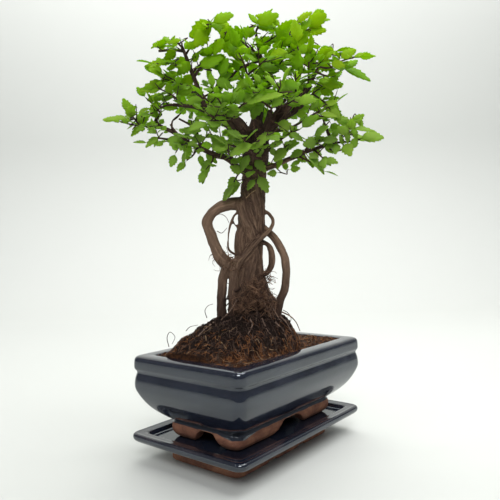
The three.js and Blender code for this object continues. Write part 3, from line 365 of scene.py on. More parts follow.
def potting_soil(s, place_):
    """Dark compost round the roots, with orange-brown coir towards the rim."""
    clump = s.noise(place_, 150, 5, 0.65, 0.6)
    grain = s.noise(place_, 900, 4, 0.7)
    strand = s.noise(s.stretched(place_, (1.0, 0.35, 0.6)), 620, 3, 0.6, 1.6)
    low = s.span(s.height(place_) + clump * 12, 75, 84, 1.0, 0.0)
    dark = s.ramp(grain, (0.3, (0.004, 0.003, 0.003)), (0.7, (0.026, 0.015, 0.011)))
    coir = s.ramp(strand, (0.36, (0.022, 0.009, 0.005)), (0.64, (0.2, 0.076, 0.025)))
    colour = s.mix(low * s.span(clump, 0.34, 0.6, 0.25, 0.95), dark, coir)
    return s.skin({
        "Base Color": colour,
        "Roughness": 0.95,
        "Specular IOR Level": 0.1,
        "Normal": s.bump(grain + clump, 0.9, 0.0015),
    })


def fibre_skin(s, place_, dark, light):
    """Fibres and fine roots: each stretch a little lighter or darker than the next."""
    patch = s.noise(place_, 240, 3)
    return s.skin({
        "Base Color": s.mix(s.span(patch, 0.35, 0.65), dark, light),
        "Roughness": 0.8,
        "Specular IOR Level": 0.2,
    })


def bark(s, place_):
    """Grey-brown bark: streaks along the grain, paler loops, and painted shade at its foot and on the wood
    inside the crown.
    """
    grain = s.attribute("grain", "Vector")
    streak = s.noise(s.stretched(grain, (1.0, 1.0, 0.16)), 0.55, 5, 0.65, 0.5)
    hair = s.noise(s.stretched(grain, (1.0, 1.0, 0.1)), 2.4, 3, 0.7)
    ring = s.noise(s.stretched(grain, (0.25, 0.25, 1.0)), 0.5, 3, 0.6)
    patch = s.noise(place_, 45, 4, 0.6)
    colour = s.ramp(
        streak,
        (0.32, (0.024, 0.013, 0.01)),
        (0.5, (0.105, 0.062, 0.041)),
        (0.68, (0.27, 0.17, 0.11)),
    )
    colour = s.mix(s.span(hair, 0.5, 0.75) * 0.4, colour, (0.3, 0.2, 0.135))
    colour = s.mix(s.span(patch, 0.5, 0.64) * 0.55, colour, (0.075, 0.045, 0.032))
    x, y, z = s.parts(place_)
    height = z * PER_METRE + patch * 12
    away = (x * x + y * y) ** 0.5 * PER_METRE
    loop = s.span(away, 11, 20) * s.span(height, 100, 130) * s.span(height, 190, 215, 1.0, 0.0)
    colour = s.mix(loop * 0.35, colour, (0.34, 0.225, 0.155))
    # Painted shade: darker low on the trunk and roots, and on the limbs up in the crown where the leaves
    # shade them
    base = s.span(height, 102, 142, 0.85, 0.0)
    upper = s.span(height, 205, 222, 0.0, 0.7)
    colour = s.mix(base.at_least(upper), colour, (0.042, 0.024, 0.018))
    relief = streak * 1.4 + hair * 0.6 + ring * 0.4
    return s.skin({
        "Base Color": colour,
        "Roughness": s.span(streak, 0.3, 0.7, 0.9, 0.72),
        "Specular IOR Level": 0.2,
        "Normal": s.bump(relief, 0.9, 0.0013),
    })


def twig_bark(s, place_):
    """Thin red-brown bark of this year's and last year's shoots."""
    patch = s.noise(place_, 120, 3)
    fine = s.noise(place_, 1600, 2)
    colour = s.ramp(patch, (0.35, (0.03, 0.016, 0.011)), (0.65, (0.09, 0.05, 0.03)))
    colour = s.mix(s.span(fine, 0.6, 0.75) * 0.4, colour, (0.14, 0.095, 0.06))
    return s.skin({
        "Base Color": colour,
        "Roughness": 0.75,
        "Specular IOR Level": 0.2,
        "Normal": s.bump(fine, 0.4, 0.0003),
    })


def leaf_skin(s, place_):
    """A thin leaf: pale sunk veins, light let through, greyer low down, and a tone that carries painted
    light, yellower, at the crown's top and outside and painted shade deep inside it.
    """
    u, v, _ = s.parts(s.value("UVMap", {"uv_map": "leaf"}))
    side = abs(v - 0.5) * 2
    # The tone is the leaf's own random tone plus painted light and shade from where it sits in the crown
    tone = s.attribute("tone")
    slant = (u - side * 0.2) * 50
    rib = s.span(side, 0.0, 0.09, 1.0, 0.0)
    vein = s.span(slant.sine(), 0.72, 1.0) * s.span(side, 0.02, 0.9, 1.0, 0.35)
    cloud = s.noise(place_, 260, 3)
    blade = s.ramp(
        tone + (cloud - 0.5) * 0.25,
        (0.1, (0.12, 0.26, 0.006)),
        (0.4, (0.2, 0.42, 0.004)),
        (0.7, (0.28, 0.49, 0.004)),
        (0.95, (0.38, 0.56, 0.006)),
    )
    colour = s.mix(rib.at_least(vein * 0.55) * 0.35, blade, (0.3, 0.46, 0.02))
    low = s.span(s.height(place_), 285, 215)
    colour = s.mix(low * 0.6, colour, (0.28, 0.34, 0.13))
    relief = s.bump((1 - rib.at_least(vein)) + cloud * 0.2, 0.5, 0.0004)
    blade_skin = s.skin({
        "Base Color": colour,
        "Roughness": s.span(cloud, 0.3, 0.7, 0.42, 0.6),
        "Specular IOR Level": 0.06,
        "Normal": relief,
    })
    glow = s.value("BsdfTranslucent", None, {"Color": (0.48, 0.73, 0.006, 1.0)})
    return s.value("MixShader", None, {0: 0.5, 1: blade_skin, 2: glow})


def screen_plastic(s, place_):
    grain = s.noise(place_, 900, 2)
    return s.skin({
        "Base Color": s.mix(grain, (0.012, 0.013, 0.012), (0.03, 0.032, 0.03)),
        "Roughness": 0.55,
        "Normal": s.bump(grain, 0.2, 0.0002),
    })


GLAZE = coat("glaze", glaze_skin)
BARE_CLAY = coat("bare_clay", clay_skin)
DIPPED_CLAY = coat("dipped_clay", dipped_clay)
SOIL = coat("potting_soil", potting_soil)
COIR = coat("coir", fibre_skin, (0.06, 0.022, 0.009), (0.34, 0.14, 0.05))
PALE_FIBRE = coat("pale_fibre", fibre_skin, (0.2, 0.12, 0.06), (0.5, 0.33, 0.19))
ROOT_HAIR = coat("root_hair", fibre_skin, (0.018, 0.01, 0.009), (0.1, 0.062, 0.045))
TUFT = coat("tuft", fibre_skin, (0.035, 0.019, 0.014), (0.23, 0.13, 0.08))
LIGHT_ROOT = coat("light_root", fibre_skin, (0.09, 0.06, 0.048), (0.28, 0.19, 0.145))
BARK = coat("bark", bark)
TWIG = coat("twig_bark", twig_bark)
LEAF = coat("leaf", leaf_skin)
SCREEN = coat("screen_plastic", screen_plastic)


# Pieces


def linked(name, data):
    """A new object at the origin of the scene."""
    made = bpy.data.objects.new(name, data)
    bpy.context.scene.collection.objects.link(made)
    return made


def add_piece(name, mesh, finishes, replaces=()):
    piece = linked(name, mesh)
    for finish in finishes:
        mesh.materials.append(finish)
    mesh.polygons.foreach_set("use_smooth", [True] * len(mesh.polygons))
    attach(piece, "root")
    if replaces:
        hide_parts(*replaces)


def bm_to_mesh(bm, name):
    mesh = bpy.data.meshes.new(name)
    bm.to_mesh(mesh)
    bm.free()
    return mesh


def settled(holder):
    """The final mesh of an object that is only there to make it."""
    bpy.context.view_layer.update()
    depsgraph = bpy.context.evaluated_depsgraph_get()
    mesh = bpy.data.meshes.new_from_object(holder.evaluated_get(depsgraph))
    bpy.data.objects.remove(holder)
    return mesh


def modified(mesh, *modifiers):
    """The mesh with modifiers (type, settings) applied."""
    holder = linked("holder", mesh)
    for kind, settings in modifiers:
        modifier = holder.modifiers.new(kind, kind)
        for key, value in settings.items():
            setattr(modifier, key, value)
    return settled(holder)


def cut(mesh, cutters):
    """The mesh with each cutter's shape taken out of it."""
    for cutter in cutters:
        helper = linked("helper", cutter)
        settings = {"operation": "DIFFERENCE", "solver": "EXACT", "object": helper}
        mesh = modified(mesh, ("BOOLEAN", settings))
        bpy.data.objects.remove(helper)
    return mesh


# Pot and saucer: rounded oblongs drawn up row by row

CORNER_STEPS = 6
ARCH_STEPS = 8
POT_FOOT_VOXEL = 0.6
SAUCER_FOOT_VOXEL = 0.7
SMOOTHED = ("SUBSURF", {"levels": 2, "render_levels": 2})


def new_verts(made):
    """The points that an extrusion made."""
    return [g for g in made["geom"] if isinstance(g, bmesh.types.BMVert)]


def ring_edges(bm, verts):
    found = set(verts)
    return [e for e in bm.edges if e.verts[0] in found and e.verts[1] in found]


def oblong_shell(length, width, rows, closed=True, shift=Vector()):
    """Rows are [inset from the outer size, height, corner radius], from the base to the last."""
    bm = bmesh.new()
    inset, height, radius = rows[0]
    bmesh.ops.create_grid(bm, x_segments=1, y_segments=1, size=1)
    bmesh.ops.scale(bm, vec=((length / 2 - inset) * MM, (width / 2 - inset) * MM, 1), verts=bm.verts)
    bmesh.ops.bevel(
        bm, geom=bm.verts[:], offset=radius * MM, affect="VERTICES",
        segments=CORNER_STEPS, profile=0.5, material=-1,
    )
    bmesh.ops.translate(bm, vec=(0, 0, height * MM), verts=bm.verts)
    if not closed:
        bmesh.ops.delete(bm, geom=bm.faces[:], context="FACES_ONLY")
    first = bm.verts[:]
    edges = bm.edges[:]
    for row in rows[1:]:
        last = new_verts(bmesh.ops.extrude_edge_only(bm, edges=edges))
        edges = ring_edges(bm, last)
        for vert in last:
            vert.co = reshaped(vert.co, length, width, (inset, radius), row)
        inset, height, radius = row
    if closed:
        bmesh.ops.contextual_create(bm, geom=edges)
    else:
        bmesh.ops.bridge_loops(bm, edges=edges + ring_edges(bm, first))
    bmesh.ops.recalc_face_normals(bm, faces=bm.faces)
    bmesh.ops.translate(bm, vec=MIDDLE + shift, verts=bm.verts)
    return bm


def reshaped(point, length, width, old, new):
    """A point of one row moved to its place in the next, round the corner it belongs to."""
    place_ = []
    for axis, size in ((0, length / 2), (1, width / 2)):
        sign = math.copysign(1, point[axis])
        corner = size - old[0] - old[1]
        share = (abs(point[axis]) / MM - corner) / old[1]
        place_.append(sign * (size - new[0] - new[2] + share * new[2]) * MM)
    return Vector((*place_, new[1] * MM))


POT_ROWS = [
    [28, FLOOR_UNDERSIDE, 5],
    [22, FLOOR_UNDERSIDE, 6],
    [19.2, 27.9, 7],
    [17.6, 28.8, 8],
    [13.2, 31.7, 9],
    [8, 36.2, 8.5],
    [3.8, 42, 8],
    [1.2, 47.8, 7.5],
    [0.3, 50.6, 7],
    [0, 53.2, 7],
    [0.2, 56.4, 7],
    [0.8, 59.2, 6.6],
    [1.5, 61.2, 6.5],
    [1.5, 62.2, 6.5],
    [1, 63.2, 6.7],
    [0.1, 64.4, 7],
    [0, 65.6, 7],
    [0, 70, 7],
    [0.6, 71.7, 7],
    [1.6, 72.6, 6.5],
    [3.2, POT_TOP, 6],
    [RIM_WIDTH - 1.6, POT_TOP, 3],
    [RIM_WIDTH - 0.6, 72.7, 3],
    [RIM_WIDTH - 0.1, 71.8, 3],
    [RIM_WIDTH - 0.1, 69.6, 3],
    [9.5, 66.5, 4],
    [7.5, 60, 4],
    [6.8, 52, 4],
    [9.5, 44, 5],
    [17, 36, 6],
    [26, FLOOR_TOP, 7],
    [32, FLOOR_TOP, 6],
]
FOOT_ROWS = [
    [FOOT_INSET + 2, 28.9, 7],
    [FOOT_INSET + 0.6, 26.8, 7],
    [FOOT_INSET, 23.6, 7],
    [FOOT_INSET + 0.6, 20.6, 6.5],
    [FOOT_INSET + 2.2, 18.2, 6],
    [FOOT_INSET + 4.6, RECESS_FLOOR + SEAT_GAP, 5],
    [FOOT_INSET + FOOT_WALL - 0.5, RECESS_FLOOR + SEAT_GAP, 3],
    [FOOT_INSET + FOOT_WALL, 18, 2.5],
    [FOOT_INSET + FOOT_WALL - 1, 28.9, 2.5],
]
SAUCER_ROWS = [
    [40, SAUCER_UNDERSIDE, 3],
    [28, SAUCER_UNDERSIDE, 4],
    [21, SAUCER_UNDERSIDE - 2.6, 5],
    [18.6, 6.6, 7],
    [17.4, 6.8, 7],
    [14, 8.6, 7],
    [9, 10.9, 7],
    [4, 13, 6.5],
    [1.6, 14.4, 6.5],
    [0.4, 15.8, 6.5],
    [0, 17.2, 6.5],
    [0.1, 18.4, 6.5],
    [0.6, 19.3, 6.2],
    [1.5, SAUCER_TOP, 6],
    [2.6, SAUCER_TOP, 5.6],
    [3.2, SAUCER_TOP - 0.25, 5.4],
    [6.8, SAUCER_TOP - 0.25, 4],
    [7.8, SAUCER_TOP - 0.5, 3.6],
    [8.5, 18.8, 3.4],
    [9.4, 17, 3.2],
    [10.2, 16.4, 3.2],
    [12, RECESS_FLOOR, 3],
    [30, RECESS_FLOOR, 2],
]
SAUCER_FOOT_ROWS = [
    [18.6, 8.4, 7],
    [18.8, 1.4, 7],
    [19.8, 0.3, 6.5],
    [21.2, 0, 6],
    [24.6, 0, 5],
    [25.8, 0.8, 5],
    [26.6, 8.4, 5],
]


def arch_cutter(width, depth, along, shift):
    """A flat-topped arch, open below, that runs through from side to side."""
    half = width / 2
    low = RECESS_FLOOR - 3
    knee = RECESS_FLOOR + 1.5
    outline = [(-half - 2, low), (-half - 0.4, knee)]
    flank = [(-half, knee), (-half * 0.72, knee + 1), (-half * 0.66, ARCH_TOP), (-half * 0.3, ARCH_TOP)]
    for i in range(1, ARCH_STEPS + 1):
        t = i / ARCH_STEPS
        weights = ((1 - t) ** 3, 3 * t * (1 - t) ** 2, 3 * t * t * (1 - t), t**3)
        outline.append(tuple(sum(w * p[k] for w, p in zip(weights, flank)) for k in (0, 1)))
    outline += [(-x, z) for x, z in reversed(outline)]
    bm = bmesh.new()
    corners = [bm.verts.new((x * MM, -depth / 2 * MM, z * MM)) for x, z in outline]
    face = bm.faces.new(corners)
    far_side = new_verts(bmesh.ops.extrude_face_region(bm, geom=[face]))
    bmesh.ops.translate(bm, vec=(0, depth * MM, 0), verts=far_side)
    bmesh.ops.translate(bm, vec=(shift * MM, 0, 0), verts=bm.verts)
    if not along:
        bmesh.ops.rotate(bm, matrix=Matrix.Rotation(math.pi / 2, 3, "Z"), verts=bm.verts)
    bmesh.ops.recalc_face_normals(bm, faces=bm.faces)
    bmesh.ops.translate(bm, vec=MIDDLE, verts=bm.verts)
    return bm_to_mesh(bm, "arch")


def drain_cutter(x):
    radius, depth = DRAIN_RADIUS * MM, 20 * MM
    bm = bmesh.new()
    bmesh.ops.create_cone(
        bm, cap_ends=True, segments=32, radius1=radius, radius2=radius,
        depth=depth, matrix=Matrix.Translation(to_frame((x, 0, FLOOR_TOP))),
    )
    return bm_to_mesh(bm, "hole")


def block_cutter(size, centre):
    bm = bmesh.new()
    bmesh.ops.create_cube(bm, size=1)
    bmesh.ops.scale(bm, vec=Vector(size) * MM, verts=bm.verts)
    bmesh.ops.translate(bm, vec=to_frame(centre) + SAUCER_SHIFT, verts=bm.verts)
    return bm_to_mesh(bm, "block")


def merged(voxel):
    """A modifier that joins a mesh into one skin of small even faces."""
    return ("REMESH", {"mode": "VOXEL", "voxel_size": voxel * MM, "use_smooth_shade": True})


def fired_clay(mesh, voxel):
    """A clay ring with its edges softened, as sponging and firing leave it."""
    return modified(mesh, merged(voxel), ("SMOOTH", {"factor": 0.5, "iterations": 4}))


def make_pot():
    size = (POT_LENGTH, POT_WIDTH)
    body = modified(bm_to_mesh(oblong_shell(*size, POT_ROWS), "pot_body"), SMOOTHED)
    holes = [drain_cutter(side * DRAIN_OFFSET) for side in (-1, 1)]
    add_piece("pot_body", cut(body, holes), [GLAZE], ["pot"])
    ring = bm_to_mesh(oblong_shell(*size, FOOT_ROWS, closed=False), "pot_feet")
    arches = [
        arch_cutter(LONG_ARCH, POT_WIDTH, True, LONG_ARCH_SHIFT),
        arch_cutter(SHORT_ARCH, POT_LENGTH, False, SHORT_ARCH_SHIFT),
    ]
    add_piece("pot_feet", fired_clay(cut(ring, arches), POT_FOOT_VOXEL), [DIPPED_CLAY])


def make_saucer():
    size = (SAUCER_LENGTH, SAUCER_WIDTH)
    shell = bm_to_mesh(oblong_shell(*size, SAUCER_ROWS, shift=SAUCER_SHIFT), "saucer_tray")
    add_piece("saucer_tray", modified(shell, SMOOTHED), [GLAZE], ["saucer"])
    ring = oblong_shell(*size, SAUCER_FOOT_ROWS, closed=False, shift=SAUCER_SHIFT)
    notch = (NOTCH_WIDTH, SAUCER_WIDTH, NOTCH_HEIGHT * 2)
    notches = [block_cutter(notch, (side * NOTCH_OFFSET, 0, 0)) for side in (-1, 1)]
    foot = fired_clay(cut(bm_to_mesh(ring, "foot"), notches), SAUCER_FOOT_VOXEL)
    add_piece("saucer_foot", foot, [BARE_CLAY])


# Soil

SOIL_CELLS = (230, 138)

# Rows of the soil's side, from its top down: (inset, height)
SOIL_SIDES = [(0.0, 68.0), (-3.6, 62.0), (-3.6, 52.0), (14.0, FLOOR_TOP + SEAT_GAP)]


def hollow(margin):
    """Half the length and half the width inside the pot's wall, less a margin."""
    return POT_LENGTH / 2 - RIM_WIDTH - margin, POT_WIDTH / 2 - RIM_WIDTH - margin


def wall_share(x, y):
    """How far a place lies from the pot's middle towards its inner wall, 1 at the wall."""
    half_x, half_y = hollow(0)
    return max(abs(x) / half_x, abs(y) / half_y)


def mound_rise(x, y):
    """How far the soil is heaped up over its edge at a place."""
    share_x = abs(x) / (MOUND_REACH_LEFT if x < 0 else MOUND_REACH_RIGHT)
    share_y = abs(y) / MOUND_REACH_SIDE
    roundness = MOUND_CORNER_ROUNDNESS if x < 0 < y else MOUND_ROUNDNESS
    share = (share_x**roundness + share_y**roundness) ** (1 / roundness)
    turn = min(max((x + MOUND_TURN) / (2 * MOUND_TURN), 0.0), 1.0)
    power = MOUND_POWER_LEFT + (MOUND_POWER_RIGHT - MOUND_POWER_LEFT) * turn
    return MOUND_RISE * (1 - min(share, 1.0) ** power)


def soil_height(x, y):
    """Height of the soil at a place given from the middle of the pot."""
    clods = noise.fractal(Vector((x * 0.13, y * 0.13, 3.0)), 0.9, 2.1, 5)
    crumbs = noise.noise(Vector((x * 0.8, y * 0.8, 9.0)))
    grit = noise.noise(Vector((x * 1.9, y * 1.9, 5.0)))
    rough = (2.2 * clods + 1.0 * crumbs + 0.5 * grit) * (1.15 - wall_share(x, y) ** 6)
    return SOIL_EDGE + mound_rise(x, y) + rough


def make_soil():
    """The soil: a rough top, and sides that follow the pot's hollow down to its floor."""
    bm = bmesh.new()
    half_x, half_y = hollow(0.2)
    bmesh.ops.create_grid(bm, x_segments=SOIL_CELLS[0], y_segments=SOIL_CELLS[1], size=1)
    for vert in bm.verts:
        x, y = vert.co.x * half_x, vert.co.y * half_y
        vert.co = (x * MM, y * MM, soil_height(x, y) * MM)
    for inset, height in SOIL_SIDES:
        rim = [e for e in bm.edges if e.is_boundary]
        ring = new_verts(bmesh.ops.extrude_edge_only(bm, edges=rim))
        for vert in ring:
            vert.co.z = height * MM
        reach_x = max(abs(v.co.x) for v in ring)
        reach_y = max(abs(v.co.y) for v in ring)
        scale = ((half_x - inset) * MM / reach_x, (half_y - inset) * MM / reach_y, 1)
        bmesh.ops.scale(bm, vec=scale, verts=ring)
    bmesh.ops.contextual_create(bm, geom=[e for e in bm.edges if e.is_boundary])
    bmesh.ops.recalc_face_normals(bm, faces=bm.faces)
    bmesh.ops.translate(bm, vec=MIDDLE, verts=bm.verts)
    add_piece("soil_mound", bm_to_mesh(bm, "soil_mound"), [SOIL], ["soil"])


# Wood: every limb and root is a route of (across, up, out, radius)

TRUNK = [
    (-5.7, 63, 0, 8), (-5.2, 85, 0, 12.9), (-4.9, 98, 0, 12.2), (-3.5, 109, 0, 11.3),
    (-2.5, 121, 0, 9.8), (-1.8, 133, 0, 9), (-0.7, 146, 0, 9.2), (0.3, 159, 0, 9.6),
    (1, 171, 0, 10.1), (2.4, 183, 0, 9.3), (3.4, 195, 0, 8.9), (4, 205, 0, 9.3),
    (5.4, 215, 0, 9.9), (6.3, 223, 0, 8.5), (6.9, 231, 0, 5.5),
]
ROOTS = {
    "left_loop": [
        (-2, 177.7, 2, 4.7), (-9.6, 178.2, 3, 4.9), (-17.7, 177.3, 4, 4.6), (-25.6, 173.8, 5, 4),
        (-31.4, 167.3, 6, 4.1), (-31.8, 161.4, 6, 4), (-29.4, 154.7, 6, 4), (-26.6, 147.2, 6, 4.1),
        (-23.5, 140.1, 6, 4.7), (-19.5, 135.2, 6, 5), (-13, 130.6, 6, 4.4),
    ],
    "left_leg": [
        (-16.5, 135, 6, 4), (-19.7, 128.5, 6, 3.5), (-21.6, 122, 5, 3.5), (-22.4, 114.5, 5, 3.4),
        (-22.8, 107, 5, 3.5), (-23.2, 99, 5, 3.5), (-23.7, 83.5, 5, 3.4),
    ],
    "second_leg": [
        (-8.3, 138, 8, 3.5), (-11.4, 133, 8, 3.8), (-12.9, 126, 8, 3.7), (-13.5, 119, 8, 3.7),
        (-13.9, 111.5, 8, 3.8), (-14.1, 103, 8, 4.1), (-14.8, 83.5, 8, 4.1),
    ],
    "front_diagonal": [
        (7.3, 171.2, 1, 1.6), (11.7, 171.6, 2, 1.5), (15, 168.7, 3, 1.4), (16.9, 164.3, 5, 1.4),
        (14.7, 158.8, 7, 1.7), (9.8, 154, 9, 1.9), (3.8, 148.7, 10, 1.9), (-2.3, 142.2, 10, 2),
        (-7.6, 136, 9, 2.1), (-11.5, 130.5, 8, 2.2),
    ],
    "right_loop": [
        (5.6, 162, 0, 3), (11.4, 157.5, 1, 3), (17.2, 152, 2, 3), (21.4, 145.3, 2, 3), (24.6, 138, 2, 3),
        (25.5, 129, 2, 3), (25, 120, 2, 3), (23.8, 112.7, 2, 3), (20.7, 106, 2, 3), (18.8, 98, 2, 3.2),
        (17.7, 84, 2, 3.2),
    ],
    "inner_loop": [
        (4.5, 149.8, 4, 1.6), (10, 149, 5, 1.6), (14.4, 145, 5, 1.8), (16.1, 138.7, 5, 1.8),
        (15.3, 132, 5, 1.8), (12, 126.6, 4, 1.8), (4.6, 123.5, 3, 1.8),
    ],
    "inner_strand": [
        (8, 148.6, 3, 0.8), (11.8, 146.3, 3, 0.7), (13.2, 140.3, 3, 0.7), (13, 133, 3, 0.7),
        (10.6, 127, 2, 0.9),
    ],
    "thin_left": [
        (-6.8, 172.6, 4, 1.3), (-11.3, 170, 5, 1), (-14, 164.6, 5, 1.1), (-16, 158, 5, 0.9),
        (-16.8, 150.6, 4, 0.8), (-16.3, 144, 3, 1.1), (-9.8, 139.4, 2, 1.2),
    ],
    "bent_left": [(-13.5, 166.5, 4.6, 0.8), (-11.4, 162.4, 3, 0.7), (-7.5, 158.5, 1, 0.9)],
    "middle_ridge": [
        (-7, 178, 5, 3.6), (-4, 167, 7, 3.8), (0, 157, 7, 4), (2, 147, 6.5, 3.8), (2, 136, 6, 3.6),
        (-1, 124, 7, 3.6), (-3, 112, 9, 3.8), (-4, 99, 11, 4), (-4, 84, 12, 4),
    ],
    "left_ridge": [
        (-5, 166, 3, 3.4), (-7.5, 156, 4, 3.2), (-7.5, 146, 4, 3), (-7, 135, 4, 3.2), (-8.5, 122, 5, 3.4),
        (-10, 108, 7, 3.8), (-11, 96, 9, 3.6), (-11, 84, 10, 3.6),
    ],
    "right_ridge": [
        (6, 186, 4, 3.2), (8, 172, 3, 3), (7, 158, 3, 3.2), (5.5, 144, 3.5, 3), (5.5, 130, 4, 3.2),
        (7.5, 118, 4, 3.4), (10.5, 108, 5, 3.4), (13.5, 98, 6, 3.4), (15, 84, 7, 3.2),
    ],
    "right_buttress": [
        (6, 126, 0, 3), (9, 117, -1, 3.2), (12, 109, -2, 3.2), (16, 101, -3, 3.4), (19, 84, -4, 3.2),
    ],
    "back_loop": [
        (4, 176, -4, 3.4), (7, 169, -11, 3.2), (7, 157, -17, 3), (6, 143, -20, 3), (6, 129, -20, 3),
        (7, 115, -19, 3.2), (7, 103, -19, 3.2), (7, 84, -20, 3.2),
    ],
    "back_left": [
        (-5, 164, -5, 3), (-9, 155, -11, 2.8), (-10, 143, -14, 2.7), (-10, 129, -15, 2.8),
        (-12, 115, -16, 3), (-14, 101, -17, 3.2), (-15, 84, -17, 3.2),
    ],
    "back_ridge": [
        (2, 190, -5, 3.2), (-1, 174, -7, 3.4), (-1, 158, -7, 3.4), (1, 142, -6, 3.2), (0, 126, -7, 3.4),
        (-2, 110, -10, 3.6), (-3, 97, -13, 3.6), (-3, 84, -15, 3.6),
    ],
}
LIMBS = {
    "left_low": [
        (1, 199, 2, 2.8), (-8, 204.5, 3, 2.3), (-14, 210, 4, 2), (-20, 213.5, 5, 1.9), (-28, 216, 6, 1.8),
        (-36, 220, 7, 1.7), (-44, 224, 8, 1.6), (-51, 229, 8, 1.5), (-58, 233.5, 8, 1.4),
        (-66, 236.5, 8, 1.3),
    ],
    "left_low_side": [(-43, 223.5, 8, 1.4), (-52, 226, 11, 1.2), (-60, 227, 13, 1.1)],
    "left_low_rise": [(-60, 234.5, 8, 1.2), (-67, 238.5, 6, 1.2), (-68, 242, 5, 1.2), (-64, 246, 3, 1.1)],
    "left_main": [
        (4, 220, 0, 6), (-3, 231, -1, 5.2), (-9, 239, 0, 4.2), (-16, 243, 2, 3.2), (-24, 243.5, 4, 2.6),
        (-30, 247, 5, 2.2), (-34, 257, 6, 1.9), (-38, 269, 7, 1.6), (-42, 280, 8, 1.5), (-45, 289, 9, 1.3),
        (-47.5, 295, 9, 1.2),
    ],
    "left_second": [(-29, 246, 5, 1.6), (-38, 250, 8, 1.4), (-46, 251.5, 9, 1.3), (-55, 252.5, 9, 1.2)],
    "left_spur": [(-46, 292, 9, 1.2), (-54, 293, 10, 0.9), (-65, 292.5, 11, 0.8)],
    "leader": [
        (5, 222, -1, 6), (6, 236, -3, 4.6), (9, 250, -4, 3.8), (13, 263, -5, 3), (15, 275, -5, 2.4),
        (11, 285, -4, 1.7), (4, 291.5, -3, 1.3),
    ],
    "leader_stem": [(11.5, 284, -4, 1.4), (9, 293, -3, 1.1), (8, 302, -2, 1)],
    "leader_right": [(14.5, 272, -5, 1.8), (21, 282, -3, 1.5), (28, 292, 0, 1.3)],
    "right_main": [
        (6, 220, 1, 5.4), (14, 231, 4, 4.2), (22, 242, 5, 3.4), (30, 250, 6, 2.8), (38, 257, 7, 2.2),
        (45, 264, 8, 1.7), (50, 272, 8, 1.4),
    ],
    "right_under": [(21, 240.5, 4.5, 2.2), (31, 243, 1, 1.9), (38, 247.5, -2, 1.7), (45, 255, -4, 1.4)],
    "right_thin": [
        (15, 232, 4, 1.4), (24, 231.5, 7, 1.1), (33, 234, 8, 0.9), (42, 239, 9, 0.9), (52, 244.5, 10, 0.8),
    ],
    "right_low": [
        (5, 200, 0, 2.8), (12, 203.5, 2, 2.3), (20, 206, 4, 1.9), (28, 209.5, 6, 1.7), (36, 212.5, 7, 1.6),
        (43, 215.5, 8, 1.5), (50, 217.5, 8, 1.4), (58, 220, 8, 1.2), (66, 221.5, 8, 1.1),
    ],
    "right_low_fork": [(57, 219.5, 8, 1.1), (60, 226, 7, 1), (58, 232, 6, 0.9)],
    "right_front": [(7, 213, 3, 2.4), (16, 219, 9, 2), (24, 225, 15, 1.6)],
    "front_left": [(1, 224, 3, 3), (-8, 232, 14, 2.3), (-14, 240, 25, 1.8)],
    "front_right": [(7, 224, 3, 3), (13, 235, 16, 2.2), (17, 246, 27, 1.8)],
    "front_low": [(3, 208, 4, 2.2), (2, 215, 19, 1.7)],
    "front_high": [(8, 246, -3, 2.2), (4, 259, 10, 1.7), (1, 271, 18, 1.4)],
    "back_left": [(1, 222, -3, 3.2), (-10, 231, -17, 2.4), (-20, 240, -31, 1.8)],
    "back_right": [(8, 222, -4, 3.2), (16, 234, -19, 2.3), (23, 245, -33, 1.8)],
    "back_low": [(3, 208, -4, 2.6), (0, 214, -19, 2), (-4, 220, -34, 1.6)],
    "back_high": [(7, 240, -4, 2.6), (4, 253, -17, 2), (2, 266, -27, 1.6)],
    "thin_right_a": [(14, 231, 5, 1.6), (22, 236, 9, 1.3), (33, 250, 12, 1.1), (44, 264, 12, 0.7)],
    "thin_right_b": [(12, 229, 5, 1.6), (17, 240, 10, 1.2), (26, 252, 12, 1), (33, 263, 12, 0.7)],
    "thin_right_c": [(14, 231, 3, 1.5), (27, 239, 0, 1.2), (39, 253, -2, 1), (48, 264, -3, 0.7)],
    "thin_leader": [(10, 251, -4, 1.5), (15, 262, 2, 1.2), (18, 271, 4, 1), (19, 281, 5, 0.7)],
    "thin_arch": [
        (11, 284, -4, 1.2), (2, 281, 4, 1.1), (-6, 278, 8, 0.9), (-15, 268, 10, 0.8), (-24, 262, 12, 0.7),
    ],
    "thin_back_left": [(-39, 273, 7, 1.2), (-33, 280, 12, 0.9), (-26, 277, 14, 0.7)],
    "thin_low_a": [(-36, 220, 7, 1.2), (-37, 229, 9, 1), (-42, 236.5, 10, 0.8), (-51, 242, 10, 0.7)],
    "thin_low_b": [(-51, 229, 8, 1), (-55, 234, 9, 0.8), (-57.5, 238, 9, 0.6)],
    "thin_low_c": [(-12, 209, 4, 1.2), (-14, 216, 6, 1), (-20, 222, 7, 0.8), (-26, 228, 8, 0.7)],
}

WOOD_ROUTES = [TRUNK, *ROOTS.values(), *LIMBS.values()]

